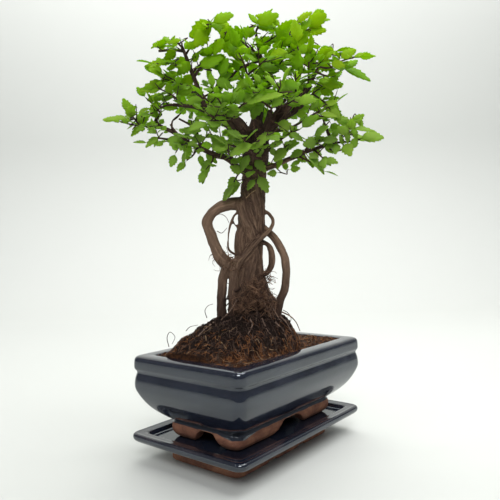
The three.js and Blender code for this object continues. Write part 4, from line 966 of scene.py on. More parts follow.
# Shoots: (name, what it grows from, how far along that, route, leaves)
SHOOTS = [
    ("left_tip", "left_low", 1, [(-76, 237, 9), (-88, 239, 10), (-97, 242, 10)], 7),
    ("left_tip_up", "left_tip", 0.45, [(-84, 243, 12), (-87, 247, 13)], 2),
    ("left_rise", "left_low_rise", 1, [(-69, 252, 2), (-75, 258, 3)], 5),
    ("left_second_tip", "left_second", 1, [(-62, 251.5, 9), (-70, 247, 11), (-79, 244, 12)], 6),
    ("left_second_top", "left_second", 0.75, [(-56, 260, 14), (-66, 265, 16)], 6),
    ("left_side_tip", "left_low_side", 1, [(-68, 228, 15), (-74, 225, 15)], 4),
    ("left_drop", "left_low", 0.72, [(-51, 222, 14), (-54, 217, 15)], 3),
    ("left_drop_inner", "left_low", 0.58, [(-41, 215, 11), (-46, 211, 11)], 4),
    ("left_drop_near", "left_low", 0.42, [(-27, 210, 10), (-32, 204, 12)], 4),
    ("left_up", "left_low", 0.86, [(-56, 240, 2), (-51, 245, -2)], 4),
    ("left_middle", "left_main", 0.68, [(-45, 266, 14), (-54, 271, 16), (-63, 275, 16)], 7),
    ("left_upper", "left_main", 0.8, [(-50, 281, 14), (-59, 284, 15), (-67, 283, 15)], 7),
    ("left_spur_tip", "left_main", 1, [(-53, 300, 9), (-60, 300, 9)], 4),
    ("left_crown", "left_main", 0.9, [(-40, 297, 14), (-34, 305, 15), (-27, 310, 15),
                                      (-19, 314, 15)], 8),
    ("left_crown_low", "left_main", 0.76, [(-33, 283, 15), (-26, 289, 18), (-19, 296, 19)], 7),
    ("left_inner", "left_main", 0.6, [(-25, 262, 13), (-21, 271, 18)], 6),
    ("left_front", "left_main", 0.4, [(-26, 251, 19), (-33, 258, 28)], 6),
    ("left_behind", "left_main", 0.64, [(-43, 262, -6), (-51, 267, -16)], 6),
    ("top_left", "leader", 1, [(-3, 298, -2), (-11, 304, 0)], 6),
    ("top_middle", "leader_stem", 1, [(8, 307, -1), (12, 312, 2)], 6),
    ("top_right", "leader_right", 1, [(35, 302, 2), (43, 308, 3), (51, 312, 4)], 8),
    ("top_right_up", "top_right", 0.2, [(33, 304, 5), (36, 310, 8)], 4),
    ("top_right_back", "top_right", 0.1, [(29, 297, -10), (31, 302, -19)], 5),
    ("crown_right", "leader", 0.66, [(22, 278, 7), (28, 285, 14), (33, 290, 18)], 7),
    ("crown_front", "leader", 0.9, [(6, 291, 7), (1, 297, 14)], 6),
    ("crown_stem", "leader_stem", 0.5, [(15, 297, 2), (23, 302, 6)], 5),
    ("right_top", "right_main", 1, [(54, 280, 8), (60, 285, 9), (64, 289, 10)], 6),
    ("right_top_out", "right_top", 0.25, [(61, 277, 12), (71, 282, 14), (82, 285, 14)], 7),
    ("right_top_low", "right_top", 0.1, [(60, 271, 3), (71, 275, 2)], 4),
    ("right_edge", "right_under", 1, [(52, 261, -6), (60, 265, -7)], 6),
    ("right_edge_low", "right_edge", 0.25, [(54, 254, -1), (60, 249, 1)], 4),
    ("right_thin_tip", "right_thin", 1, [(60, 248, 12), (65, 251, 12)], 3),
    ("right_thin_low", "right_thin", 0.85, [(55, 241, 15), (63, 241, 17)], 4),
    ("right_fork_tip", "right_low_fork", 1, [(56, 238, 5), (57, 243, 4)], 4),
    ("right_tip", "right_low", 1, [(74, 222, 9), (81, 223, 9), (87, 226, 9)], 4),
    ("right_tip_up", "right_tip", 0.1, [(70, 228, 11), (76, 235, 13)], 6),
    ("right_drop", "right_low", 0.86, [(63, 215, 12), (69, 216, 14)], 4),
    ("right_middle", "right_low", 0.72, [(52, 213, 14), (55, 210, 16)], 4),
    ("right_middle_up", "right_low", 0.62, [(44, 221, 12), (47, 226, 16)], 4),
    ("right_hang", "right_low", 0.5, [(43, 209, 12), (50, 205, 14), (55, 201, 14)], 5),
    ("right_near", "right_low", 0.32, [(24, 214, 8), (27, 219, 11)], 4),
    ("right_front_tip", "right_front", 1, [(31, 229, 22), (38, 232, 28)], 6),
    ("right_inner", "right_main", 0.36, [(20, 251, 12), (14, 257, 20)], 6),
    ("right_inner_up", "right_main", 0.62, [(36, 264, 12), (36, 273, 18)], 6),
    ("right_crown", "right_main", 0.84, [(46, 276, 15), (46, 285, 20)], 6),
    ("front_left_spray", "front_left", 1, [(-18, 249, 39), (-22, 257, 50)], 6),
    ("front_left_right", "front_left_spray", 0.15, [(-9, 247, 38), (-2, 253, 46)], 6),
    ("front_left_low", "front_left_spray", 0.05, [(-21, 240, 33), (-29, 240, 40)], 5),
    ("front_right_spray", "front_right", 1, [(21, 256, 38), (25, 265, 50)], 6),
    ("front_right_out", "front_right_spray", 0.15, [(27, 250, 36), (35, 254, 43)], 6),
    ("front_right_in", "front_right_spray", 0.1, [(10, 254, 33), (4, 261, 41)], 6),
    ("front_low_spray", "front_low", 1, [(-1, 221, 34), (-4, 229, 48)], 6),
    ("front_low_right", "front_low_spray", 0.2, [(7, 224, 34), (14, 228, 42)], 5),
    ("front_low_left", "front_low_spray", 0.1, [(-8, 220, 28), (-15, 222, 36)], 5),
    ("front_high_spray", "front_high", 1, [(-2, 282, 23), (-6, 291, 27)], 6),
    ("front_high_right", "front_high_spray", 0.1, [(8, 279, 26), (15, 285, 33)], 6),
    ("back_left_spray", "back_left", 1, [(-27, 250, -44), (-33, 260, -56)], 7),
    ("back_left_out", "back_left_spray", 0.1, [(-32, 245, -35), (-44, 249, -40)], 7),
    ("back_left_in", "back_left_spray", 0.2, [(-16, 252, -38), (-11, 260, -45)], 6),
    ("back_right_spray", "back_right", 1, [(29, 256, -45), (34, 268, -57)], 7),
    ("back_right_out", "back_right_spray", 0.1, [(34, 249, -37), (46, 253, -43)], 7),
    ("back_right_in", "back_right_spray", 0.2, [(15, 257, -39), (10, 266, -46)], 6),
    ("back_low_spray", "back_low", 1, [(-6, 225, -49), (-8, 232, -63)], 7),
    ("back_low_right", "back_low_spray", 0.2, [(6, 226, -47), (15, 230, -53)], 6),
    ("back_low_left", "back_low_spray", 0.1, [(-15, 222, -40), (-25, 223, -44)], 6),
    ("back_high_spray", "back_high", 1, [(0, 276, -35), (-3, 286, -42)], 7),
    ("back_high_right", "back_high_spray", 0.1, [(10, 273, -33), (20, 280, -38)], 6),
    ("back_high_left", "back_high_spray", 0.15, [(-9, 272, -33), (-18, 278, -37)], 6),
    ("trunk_front", "trunk", 0.833, [(3, 204, 12), (6, 200, 14)], 2),
    ("trunk_shoot", "trunk", 0.82, [(-7, 201, 8), (-11.5, 194, 10)], 2),
]

# The crown's outline, the gaps in it, and the windows where limbs are seen bare, as
# they are seen from the front
CROWN_OUTLINE = [
    (-107, 243), (-92, 247), (-86, 256), (-80, 252), (-72, 251), (-72, 258), (-81, 263), (-64, 272),
    (-77, 281), (-60, 288), (-70, 296), (-67, 300), (-52, 306), (-43, 303), (-34, 314), (-20, 321),
    (-8, 321), (-13, 311), (8, 311), (2, 321), (9, 318), (18, 322), (26, 319), (25, 309), (38, 316),
    (48, 320), (61, 320), (58, 310), (62, 305), (49, 301), (48, 295), (64, 294), (68, 290), (82, 292),
    (84, 288), (97, 287), (80, 280), (67, 272), (73, 263), (66, 258), (70, 254), (66, 249), (70, 241),
    (84, 240), (86, 232), (103, 224), (94, 220), (84, 221), (79, 212), (64, 210), (59, 196),
    (45, 204), (14, 199), (-8, 200), (-22, 208), (-34, 192), (-38, 193), (-36, 215), (-45, 208),
    (-51, 205), (-52, 218), (-60, 224), (-70, 219), (-78, 220), (-68, 232), (-88, 228), (-96, 240),
]
CROWN_GAPS = [
    [(-64, 246), (-43, 247), (-48, 237), (-59, 236)],
    [(-39, 227), (-27, 227), (-24, 223), (-38, 222)],
    [(36, 238), (53, 239), (55, 231), (52, 226), (40, 227)],
    [(-18, 297), (-8, 285), (-23, 289)],
]
WOOD_WINDOWS = [
    [(7, 225), (11, 248), (18, 254), (33, 254), (47, 264), (52, 265), (55, 259), (43, 248), (26, 230),
     (17, 223)],
    [(-53, 302), (-47, 302), (-38, 274), (-28, 253), (-32, 249), (-42, 269)],
    [(-5, 299), (-1, 300), (13, 287), (11, 284)],
    [(-12, 242), (10, 241), (10, 225), (-3, 225)],
]
SMALL_GAPS = [
    [(-25, 309), (-18, 303), (-25, 302)],
    [(9, 306), (22, 301), (9, 300)],
    [(12, 205), (13, 214), (18, 216), (18, 208)],
]

# Leaves that stand out in the view, for each reach of depth: (across and up at the
# base, across and up at the tip, seen width as a share of the length, tone with painted light and shade)
SEEN_LEAVES = {
    (-12, 22): [
        (-48, 300.5, -58, 298, 0.3, 0.75), (-56.5, 299, -69.5, 298, 0.25, 0.8),
        (-55.5, 298.5, -52.5, 304, 0.35, 0.7), (-60, 299, -57, 303, 0.35, 0.7),
        (-50.5, 297.5, -56.5, 295.5, 0.3, 0.6), (-52, 292.5, -61, 286, 0.6, 0.7),
        (-43.5, 285.5, -56.5, 281.5, 0.5, 0.6), (-62, 283, -76, 281.5, 0.33, 0.95),
        (-42, 284, -51.5, 274.5, 0.6, 0.5), (-25, 312.5, -42, 302.5, 0.6, 0.75),
        (-29.5, 306.5, -38, 295.5, 0.7, 0.75), (-24, 313, -8.5, 318.5, 0.42, 0.7),
        (-25, 312.5, -15.5, 303.5, 0.35, 0.65), (-17, 301, -24.5, 288.5, 0.55, 0.55),
        (-35.5, 297, -46, 294.5, 0.5, 0.45), (-35.5, 290.5, -24.5, 291, 0.5, 0.4),
        (-34.5, 280.5, -17.5, 287, 0.45, 0.5), (-25.5, 279, -8.5, 281.5, 0.33, 0.35),
        (-4.5, 304.5, -12.5, 306, 0.65, 0.5), (7.5, 304, -5.5, 306, 0.55, 0.55),
        (-17.5, 302, -5, 284.5, 0.5, 0.6), (-51, 276.5, -64.5, 269.5, 0.38, 0.75),
        (-60.5, 268, -80, 263.5, 0.36, 0.85), (-61, 259, -74.5, 256.5, 0.4, 0.8),
        (-41.5, 275, -47, 263, 0.6, 0.9), (-40, 264.5, -53, 259.5, 0.45, 0.6),
        (-64.5, 271, -73.5, 266, 0.4, 0.8), (-55, 285.5, -65.5, 283.5, 0.5, 0.7),
        (8.5, 311, 2.5, 319, 0.4, 0.6), (8.5, 311, 25, 318, 0.52, 0.7), (9, 309.5, 23, 307, 0.42, 0.6),
        (7.5, 296, 21.5, 298.5, 0.6, 0.4), (31.5, 289.5, 13, 284, 0.42, 0.8),
        (32.5, 294, 22.5, 306, 0.65, 0.45), (24, 303, 34.5, 309.5, 0.45, 0.6),
        (38, 297, 36.5, 314, 0.5, 0.8), (40, 304, 48.5, 313.5, 0.42, 0.6),
        (45.5, 308.5, 60.5, 317, 0.6, 0.9), (45.5, 305.5, 60, 305, 0.5, 0.95),
        (45.5, 302.5, 37.5, 293, 0.55, 0.7), (49, 293, 32.5, 288, 0.35, 0.6),
        (49, 292, 45.5, 277.5, 0.55, 0.5), (52, 283, 64.5, 291, 0.72, 0.95),
        (52, 281.5, 64, 275.5, 0.6, 0.85), (62.5, 280.5, 73.5, 278, 0.5, 0.95),
        (70, 284, 81.5, 290.5, 0.5, 0.8), (79, 284.5, 96, 285.5, 0.16, 0.7), (73, 276, 92, 267, 0.22, 0.3),
        (54, 266.5, 71, 263.5, 0.42, 0.95), (54, 262, 64, 257, 0.6, 0.85), (57.5, 249, 67, 253, 0.42, 0.8),
        (61.5, 247, 69, 239, 0.45, 0.8), (54, 243, 66.5, 241, 0.3, 0.85), (64, 271, 68, 268, 0.5, 0.7),
        (-87, 244, -86, 253.5, 0.85, 0.85), (-90, 243.5, -105, 243, 0.22, 0.8),
        (-86.5, 242, -94.5, 240.5, 0.4, 0.8), (-83.5, 241, -73, 248.5, 0.35, 0.6),
        (-82, 238, -72.5, 246, 0.5, 0.7), (-64, 254, -73, 248.5, 0.6, 0.8), (-79, 237, -87, 230, 0.38, 0.8),
        (-67, 229, -76.5, 221.5, 0.34, 0.7), (-67, 227.5, -70, 221.5, 0.35, 0.6),
        (-62.5, 251, -51.5, 250, 0.45, 0.6), (76, 230.5, 77, 239, 0.85, 0.9),
        (77, 231.5, 80.5, 224, 0.6, 0.5), (74.5, 228.5, 66, 233, 0.65, 0.7),
        (73, 230, 73.5, 220.5, 0.42, 0.6), (83.5, 224.5, 100.5, 225, 0.42, 0.8),
        (78.5, 231.5, 94.5, 229.5, 0.18, 0.75), (71.5, 220.5, 75.5, 211.5, 0.8, 0.9),
        (-54, 230, -54.5, 219, 0.8, 0.45), (-45.5, 224, -45, 211.5, 0.5, 0.45),
        (-46.5, 218.5, -49, 207.5, 0.25, 0.5), (-39, 221.5, -37, 215.5, 0.55, 0.4),
        (-28.5, 213, -35.5, 193.5, 0.27, 0.5), (-31.5, 216, -23.5, 208.5, 0.5, 0.45),
        (-35.5, 235.5, -47.5, 231.5, 0.5, 0.25), (44, 212, 56, 198.5, 0.2, 0.5),
        (44.5, 214.5, 52.5, 206, 0.3, 0.6), (47.5, 217, 54, 212, 0.6, 0.6),
        (40, 216.5, 30.5, 211.5, 0.5, 0.6), (35, 211.5, 45, 208.5, 0.5, 0.45),
        (38, 208.5, 30.5, 205, 0.4, 0.3), (50, 223, 40.5, 220.5, 0.75, 0.45),
        (54.5, 223, 66.5, 224, 0.42, 0.2), (54.5, 220.5, 64.5, 218.5, 0.45, 0.45),
        (65, 221, 64, 213, 0.7, 0.4), (61.5, 235.5, 65, 231, 0.7, 0.3),
        (27.5, 218.5, 18.5, 208.5, 0.55, 0.8), (24.5, 211, 20.5, 202.5, 0.35, 0.6),
        (31, 229.5, 40.5, 223.5, 0.4, 0.35), (35.5, 245, 44.5, 241.5, 0.6, 0.7),
        (47, 250, 55, 245, 0.6, 0.6),
    ],
    (18, 48): [
        (26.5, 258.5, 6.5, 254, 0.2, 0.8), (11, 255, 3, 240.5, 0.5, 0.3), (26.5, 256, 17.5, 249, 0.5, 0.5),
        (22, 237, 34, 232.5, 0.58, 0.75), (13, 229, 6, 219.5, 0.52, 0.85),
        (16, 219.5, 25.5, 223.5, 0.4, 0.5), (2.5, 222, -14, 214, 0.36, 0.75),
        (-11, 235.5, -22, 241, 0.35, 0.6), (-18.5, 216.5, -27, 220.5, 0.5, 0.3),
        (-23, 270, -10.5, 264, 0.5, 0.3), (2.5, 269.5, -8, 264, 0.5, 0.55),
        (-14.5, 255, -1.5, 258.5, 0.55, 0.25), (-31, 249.5, -20.5, 245.5, 0.5, 0.55),
        (-5.5, 249, -16, 243, 0.5, 0.5), (27.5, 267.5, 38.5, 262.5, 0.6, 0.35),
    ],
    (11, 15): [
        (4.5, 210, 12.5, 201, 0.52, 0.35), (0, 214, -6, 202, 0.42, 0.4),
        (4, 195.5, -2, 188, 0.45, 0.35), (-7.5, 192.5, -20.5, 181, 0.3, 0.45),
        (-7, 191, -10.5, 195.5, 0.4, 0.4),
    ],
}


# How finely the wood is drawn, and how rough its bark is
STOP_STEPS = 4
WOOD_VOXEL = 0.8
TRUNK_RELIEF = 0.75
LIMB_RELIEF = 0.3
RIDGES_ROUND = 0.42
RIDGES_ALONG = 0.055
GRAIN_SHIFT = 57


class Curve:
    """A smooth curve through its points."""

    def __init__(self, points):
        points = [np.array(p, float) for p in points]
        before = 2 * points[0] - points[1]
        after = 2 * points[-1] - points[-2]
        self.points = [before, *points, after]
        self.spans = len(points) - 1

    def at(self, t):
        where = min(max(t, 0.0), 1.0) * self.spans
        first = min(int(where), self.spans - 1)
        w = where - first
        p0, p1, p2, p3 = self.points[first:first + 4]
        v0, v1 = 0.5 * (p2 - p0), 0.5 * (p3 - p1)
        cubic = 2 * p1 - 2 * p2 + v0 + v1
        square = -3 * p1 + 3 * p2 - 2 * v0 - v1
        return p1 + v0 * w + square * w**2 + cubic * w**3

    def direction(self, t):
        ahead = self.at(min(t + 1e-4, 1.0)) - self.at(max(t - 1e-4, 0.0))
        return unit(ahead)


def route_curve(route):
    return Curve([place(stop) for stop in route])


def route_radius(route, t):
    stop = min(t * (len(route) - 1), len(route) - 1.0001)
    first = int(stop)
    return route[first][3] + (route[first + 1][3] - route[first][3]) * (stop - first)


def tubes(strands, name, sides):
    """One mesh of round strands. A strand is a list of (point, radius), in millimetres."""
    curve = bpy.data.curves.new(name, "CURVE")
    curve.dimensions = "3D"
    curve.bevel_depth = 1.0
    curve.bevel_resolution = (sides - 4) // 2
    curve.use_fill_caps = True
    for strand in strands:
        spline = curve.splines.new("POLY")
        spline.points.add(len(strand) - 1)
        for target, (point, radius) in zip(spline.points, strand):
            target.co = (*to_frame(point), 1.0)
            target.radius = radius * MM
    return settled(linked("holder", curve))


def strand_of(route, end=1.0):
    curve = route_curve(route)
    count = round((len(route) - 1) * STOP_STEPS * end)
    return [(curve.at(end * i / count), route_radius(route, end * i / count)) for i in range(count + 1)]


def grain_samples():
    """Places along every route, with what is needed to say where a point lies round it."""
    samples = []
    for number, route in enumerate(WOOD_ROUTES):
        curve = route_curve(route)
        count = (len(route) - 1) * 8
        side = RIGHT + UP * 0.1
        along = 0.0
        before = curve.at(0)
        for i in range(count + 1):
            t = i / count
            centre = curve.at(t)
            direction = curve.direction(t)
            side = unit(side - direction * side.dot(direction))
            along += np.linalg.norm(centre - before)
            before = centre
            radius = route_radius(route, t)
            onward = along + number * GRAIN_SHIFT
            samples.append((centre, side, np.cross(side, direction), onward, radius))
    return samples


def add_grain(mesh, samples, relief):
    """Stores where each point lies round and along its limb, and raises the bark by it."""
    tree = kdtree.KDTree(len(samples))
    for i, sample in enumerate(samples):
        tree.insert(to_frame(sample[0]), i)
    tree.balance()
    values = []
    mesh.calc_loop_triangles()
    normals = [v.normal.copy() for v in mesh.vertices]
    for vert, normal in zip(mesh.vertices, normals):
        _, index, _ = tree.find(vert.co)
        centre, side, other, along, radius = samples[index]
        offset = np.array((vert.co - MIDDLE) / MM) - centre
        grain = Vector((offset.dot(side), offset.dot(other), along))
        values.extend(grain)
        furrow = Vector((grain.x * RIDGES_ROUND, grain.y * RIDGES_ROUND, along * RIDGES_ALONG))
        ridge = noise.fractal(furrow, 0.8, 2.2, 4)
        knots = noise.noise(Vector(vert.co) / MM * 0.11)
        depth = relief * min(radius / 4, 1.3)
        vert.co += normal * depth * (ridge + 0.7 * knots) * MM
    attribute = mesh.attributes.new("grain", "FLOAT_VECTOR", "POINT")
    attribute.data.foreach_set("vector", values)


def make_wood():
    """Trunk and roots as one skin, with the heavy starts of the limbs, and the limbs in it."""
    heavy = {"left_main": 0.4, "leader": 0.5, "right_main": 0.5}
    strands = [strand_of(route) for route in (TRUNK, *ROOTS.values())]
    strands += [strand_of(LIMBS[name], end) for name, end in heavy.items()]
    samples = grain_samples()
    core = modified(
        tubes(strands, "trunk_and_roots", 16),
        merged(WOOD_VOXEL),
        ("SMOOTH", {"factor": 0.6, "iterations": 5}),
    )
    add_grain(core, samples, TRUNK_RELIEF)
    add_piece("trunk_and_roots", core, [BARK], ["trunk"])
    limbs = tubes([strand_of(route) for route in LIMBS.values()], "limbs", 10)
    add_grain(limbs, samples, LIMB_RELIEF)
    add_piece("limbs", limbs, [BARK])


# Shoots and leaves


class Plan:
    """A shoot: its curve, its number of leaves, its spray, the leaves' sizes and its radius."""

    def __init__(self, curve, leaves, spray, sizes, radius):
        self.curve = curve
        self.leaves = leaves
        self.spray = spray
        self.sizes = sizes
        self.radius = radius
        self.number = 0


def shoot_plans():
    curves = {"trunk": route_curve(TRUNK)}
    curves.update({name: route_curve(route) for name, route in LIMBS.items()})
    plans = {}
    for name, parent, at, stops, leaves in SHOOTS:
        curve = Curve([curves[parent].at(at), *[place(stop) for stop in stops]])
        curves[name] = curve
        spray = plans[parent].spray if parent in plans else name
        plans[name] = Plan(curve, leaves, spray, LARGE_LEAVES, 0.85)
    return list(plans.values())


def is_free(point, gaps):
    """Whether a point is seen inside the crown's outline and out of its gaps."""
    across, up, _ = seen(point)
    return encloses(CROWN_OUTLINE, across, up) and not any(encloses(gap, across, up) for gap in gaps)


def crown_share(point):
    """How far a point is from the crown's middle: 1 on the egg round it."""
    across, out = point.dot(RIGHT) / CROWN_HALF_WIDTH, point.dot(TOWARD) / CROWN_HALF_DEPTH
    return math.hypot(across, out, (point[2] - CROWN_MIDDLE) / CROWN_HALF_HEIGHT)


def side_twigs(shoots):
    """Short twigs with small leaves beside the shoots and the thin stretches of the limbs."""
    hosts = [(plan.curve, plan.spray, 0.15) for plan in shoots if "trunk" not in plan.spray]
    for name, route in LIMBS.items():
        thin = next(i for i, stop in enumerate(route) if stop[3] < TWIG_BEARING_RADIUS)
        hosts.append((route_curve(route), "limb_" + name, thin / (len(route) - 1)))
    twigs = []
    for host, (curve, spray, start) in enumerate(hosts):
        length = sum(np.linalg.norm(curve.at(i / 20) - curve.at((i + 1) / 20)) for i in range(20))
        count = max(round(length * (1 - start) / TWIG_SPACING), 1)
        for k in range(count):
            draws = [chance(host, k, 600 + use) for use in range(7)]
            t = start + (1 - start) * (k + draws[0]) / count
            origin = curve.at(t)
            along = curve.direction(t)
            sideways = unit(np.cross(along, UP + RIGHT * 0.05)) * (1 if k % 2 else -1)
            way = along * (0.2 + 0.6 * draws[1]) + sideways * (0.4 + 0.8 * draws[2])
            way = way + UP * (draws[3] - 0.4) * 1.5
            way = unit(way) * (TWIG_LENGTH_MIN + TWIG_LENGTH_RANGE * draws[4])
            end = origin + way + UP * 1.2
            if crown_share(end) < 1 and is_free(end, CROWN_GAPS + SMALL_GAPS):
                middle = origin + way * 0.5 + sideways * (draws[5] - 0.5) * 2
                leaves = 3 + int(2.99 * draws[6])
                twigs.append(Plan(Curve([origin, middle, end]), leaves, spray, SMALL_LEAVES, 0.5))
    return twigs


class Pose:
    """Where a leaf sits, which way it points and which way it faces."""

    def __init__(self, plan, origin, forward, facing, length, width, tone):
        self.plan = plan
        self.origin = origin
        self.forward = unit(forward)
        self.across = unit(np.cross(self.forward, facing))
        self.normal = np.cross(self.across, self.forward)
        self.length = length
        self.width = width
        self.tone = tone
        self.centre = self.origin + self.forward * self.length / 2
        self.samples = self.spread()

    def fold(self, y):
        return LEAF_FOLD * np.maximum(np.abs(y) - STALK_HALF_WIDTH * self.width, 0)

    def point(self, x, y):
        return self.origin + self.forward * x + self.across * y + self.normal * self.fold(y)

    def spread(self):
        found = []
        for x in (0.12, 0.26, 0.4, 0.54, 0.68, 0.82, 1):
            half = 0.5 * self.width * math.sin(math.pi * min(x, 0.97)) ** 0.6
            for y in (-1, -0.5, 0, 0.5, 1):
                found.append(self.point(x * self.length, y * half))
        return np.array(found)

    def touches(self, points, reach):
        """Whether each point comes within reach of the blade."""
        offset = points - self.origin
        x, y = offset @ self.forward, offset @ self.across
        z = offset @ self.normal - self.fold(y)
        share = np.clip(x / self.length, 0, 0.95)
        half = 0.5 * self.width * np.abs(np.sin(np.pi * share)) ** 0.6
        inside = (x >= 1.5) & (x <= self.length + reach) & (np.abs(y) <= self.width / 2 + reach)
        return inside & (np.abs(y) < half + reach) & (np.abs(z) < LEAF_THICKNESS / 2 + reach)


def crown_tone_and_painted_light(point, draw):
    """A leaf's tone: a random share, with painted shade inside the crown and painted light, yellower, at
    its top and outside.
    """
    up = (point[2] - CROWN_MIDDLE) / CROWN_HALF_HEIGHT
    return 0.27 + 0.4 * crown_share(point) ** 1.5 + 0.22 * up + 0.45 * (draw - 0.5)


def ruled_pose(plan, leaf, attempt):
    """A leaf's place on its shoot by the rule of the solid tree."""
    last = leaf == plan.leaves - 1

    def draw(use):
        return chance(plan.number, leaf, use + attempt * 10)

    t = 1.0 if last else 0.3 + 0.62 * (leaf + 0.5) / max(plan.leaves - 1, 1)
    origin = plan.curve.at(t)
    along = plan.curve.direction(t)
    sideways = unit(np.cross(along, UP))
    lean = (1 if leaf % 2 == 0 else -1) * (0.2 if last else 1)
    forward = along * (1.0 if last else 0.55 + 0.4 * draw(1))
    forward = forward + sideways * lean * (0.75 + 0.5 * draw(2)) + UP * (draw(3) - 0.55) * 1.1
    outward = np.sign(origin.dot(TOWARD)) or 1
    facing = np.array([draw(4) - 0.5, draw(5) - 0.5, 0.35 + 0.5 * draw(6)])
    facing = facing + TOWARD * outward * (0.2 + 0.9 * draw(7))
    shortest, spread = plan.sizes
    length = (shortest + spread * draw(8)) * (0.85 if leaf == 0 else 1)
    width = length * (LEAF_WIDTH_SHARE + 0.08 * (draw(9) - 0.5))
    return Pose(plan, origin, forward, facing, length, width, crown_tone_and_painted_light(origin, draw(401)))


# Places on a leaf, as shares of its length and width
MIDRIB_SPOTS = ((0.3, 0), (0.65, 0), (1, 0))
BLADE_SPOTS = MIDRIB_SPOTS + ((0.55, 0.45), (0.55, -0.45))

# The owners of wood and of stalks, where a shoot has its number
WOOD_OWNER = -1
STALK_OWNER = -2

# How far in and out of its level a leaf may be hung, the nearest first
LEVEL_STEPS = (0, 2, -2, 4, -4, 7, -7, 10, -10, 14, 18, 23, 28)


def spots_outside(pose, spots, gaps):
    """How many spots of a leaf are seen outside the crown; leaves on the trunk may hang below it."""
    if "trunk" in pose.plan.spray:
        return 0
    return sum(not is_free(pose.point(x * pose.length, y * pose.width), gaps) for x, y in spots)


def wood_samples(plans):
    points, radii, owners = [], [], []
    for route in WOOD_ROUTES:
        curve = route_curve(route)
        count = (len(route) - 1) * 5
        for i in range(count + 1):
            points.append(curve.at(i / count))
            radii.append(route_radius(route, i / count))
            owners.append(WOOD_OWNER)
    for plan in plans:
        count = plan.curve.spans * 6
        for i in range(count + 1):
            points.append(plan.curve.at(i / count))
            radii.append(SHOOT_RADIUS)
            owners.append(plan.number)
    return np.array(points), np.array(radii), np.array(owners)


class Crown:
    """The leaves placed so far, kept by the cell of space that each one's middle is in."""

    def __init__(self, wood):
        self.wood = wood
        self.cells = {}
        self.leaves = []

    def add(self, pose):
        if pose:
            self.leaves.append(pose)
            self.cells.setdefault(tuple((pose.centre // LEAF_CELL).astype(int)), []).append(pose)

    def near(self, pose):
        x, y, z = (pose.centre // LEAF_CELL).astype(int)
        for cell in product((x - 1, x, x + 1), (y - 1, y, y + 1), (z - 1, z, z + 1)):
            for other in self.cells.get(cell, ()):
                gap = np.linalg.norm(other.centre - pose.centre)
                if gap < (other.length + pose.length) / 2 + 1:
                    yield other

    def has_room(self, pose, clearance):
        for other in self.near(pose):
            if other.touches(pose.samples, clearance).any():
                return False
            if pose.touches(other.samples, clearance).any():
                return False
        points, radii, owners = self.wood
        others = (owners != pose.plan.number) & (np.linalg.norm(points - pose.origin, axis=1) > 3.5)
        return not pose.touches(points[others], radii[others] + min(clearance, 0.6)).any()


def solid_leaf(plan, leaf, crown):
    """A leaf that the solid tree has too: at a tip, the try that reaches farthest in the crown."""
    last = leaf == plan.leaves - 1
    chosen, best = None, -math.inf if last else 0
    for attempt in range(LEAF_ATTEMPTS):
        pose = ruled_pose(plan, leaf, attempt)
        across, up, _ = seen(pose.point(pose.length, 0.0))
        reach = math.hypot(across, up - CROWN_MIDDLE)
        outside = spots_outside(pose, MIDRIB_SPOTS, CROWN_GAPS)
        score = -reach - OUTSIDE_COST * outside if outside else reach
        if score > best and crown.has_room(pose, LEAF_CLEARANCE):
            chosen, best = pose, score
        if chosen and not last:
            break
    return chosen


def small_leaf(plan, leaf, crown, clearance):
    for attempt in range(LEAF_ATTEMPTS // 2):
        pose = ruled_pose(plan, leaf, attempt)
        in_front = pose.centre.dot(TOWARD) > WINDOW_DEPTH
        gaps = CROWN_GAPS + SMALL_GAPS + (WOOD_WINDOWS if in_front else [])
        if not spots_outside(pose, BLADE_SPOTS, gaps) and crown.has_room(pose, clearance):
            return pose
    return None


def seen_pose(plan, leaf, out):
    """A leaf that covers what is seen of it: rolled if it looks narrow, tilted if it looks wide."""
    base_across, base_up, tip_across, tip_up, share, tone = leaf
    roll = math.acos(min(share / LEAF_WIDTH_SHARE, 1.0))
    tilt = math.acos(min(LEAF_WIDTH_SHARE / share, 1.0))
    base = place((base_across, base_up, out))
    flat = place((tip_across, tip_up, out)) - base
    nearer = np.linalg.norm(flat) * math.tan(tilt)
    blade = place((tip_across, tip_up, out + nearer)) - base
    sight = unit(VIEWER - base)
    upper = unit(np.cross(sight, flat))
    upper = upper * (1 if upper[2] >= 0 else -1)
    facing = sight * math.cos(roll) + upper * math.sin(roll)
    length = np.linalg.norm(blade) / (1 - STALK_SHARE)
    origin = base - blade * STALK_SHARE / (1 - STALK_SHARE)
    return Pose(plan, origin, blade, facing, length, length * LEAF_WIDTH_SHARE, tone)


def leaf_bearers(plans):
    """Places along the shoots and thin limbs that can bear a stalk, and the spray of each."""
    wood, sprays = [], []
    for plan in plans:
        wood += [plan.curve.at(0.1 + 0.06 * i) for i in range(16)]
        sprays += [plan.spray] * 16
    for name, route in LIMBS.items():
        curve = route_curve(route)
        for i in range(41):
            if route_radius(route, i / 40) < TWIG_BEARING_RADIUS:
                wood.append(curve.at(i / 40))
                sprays.append("limb_" + name)
    return wood, sprays


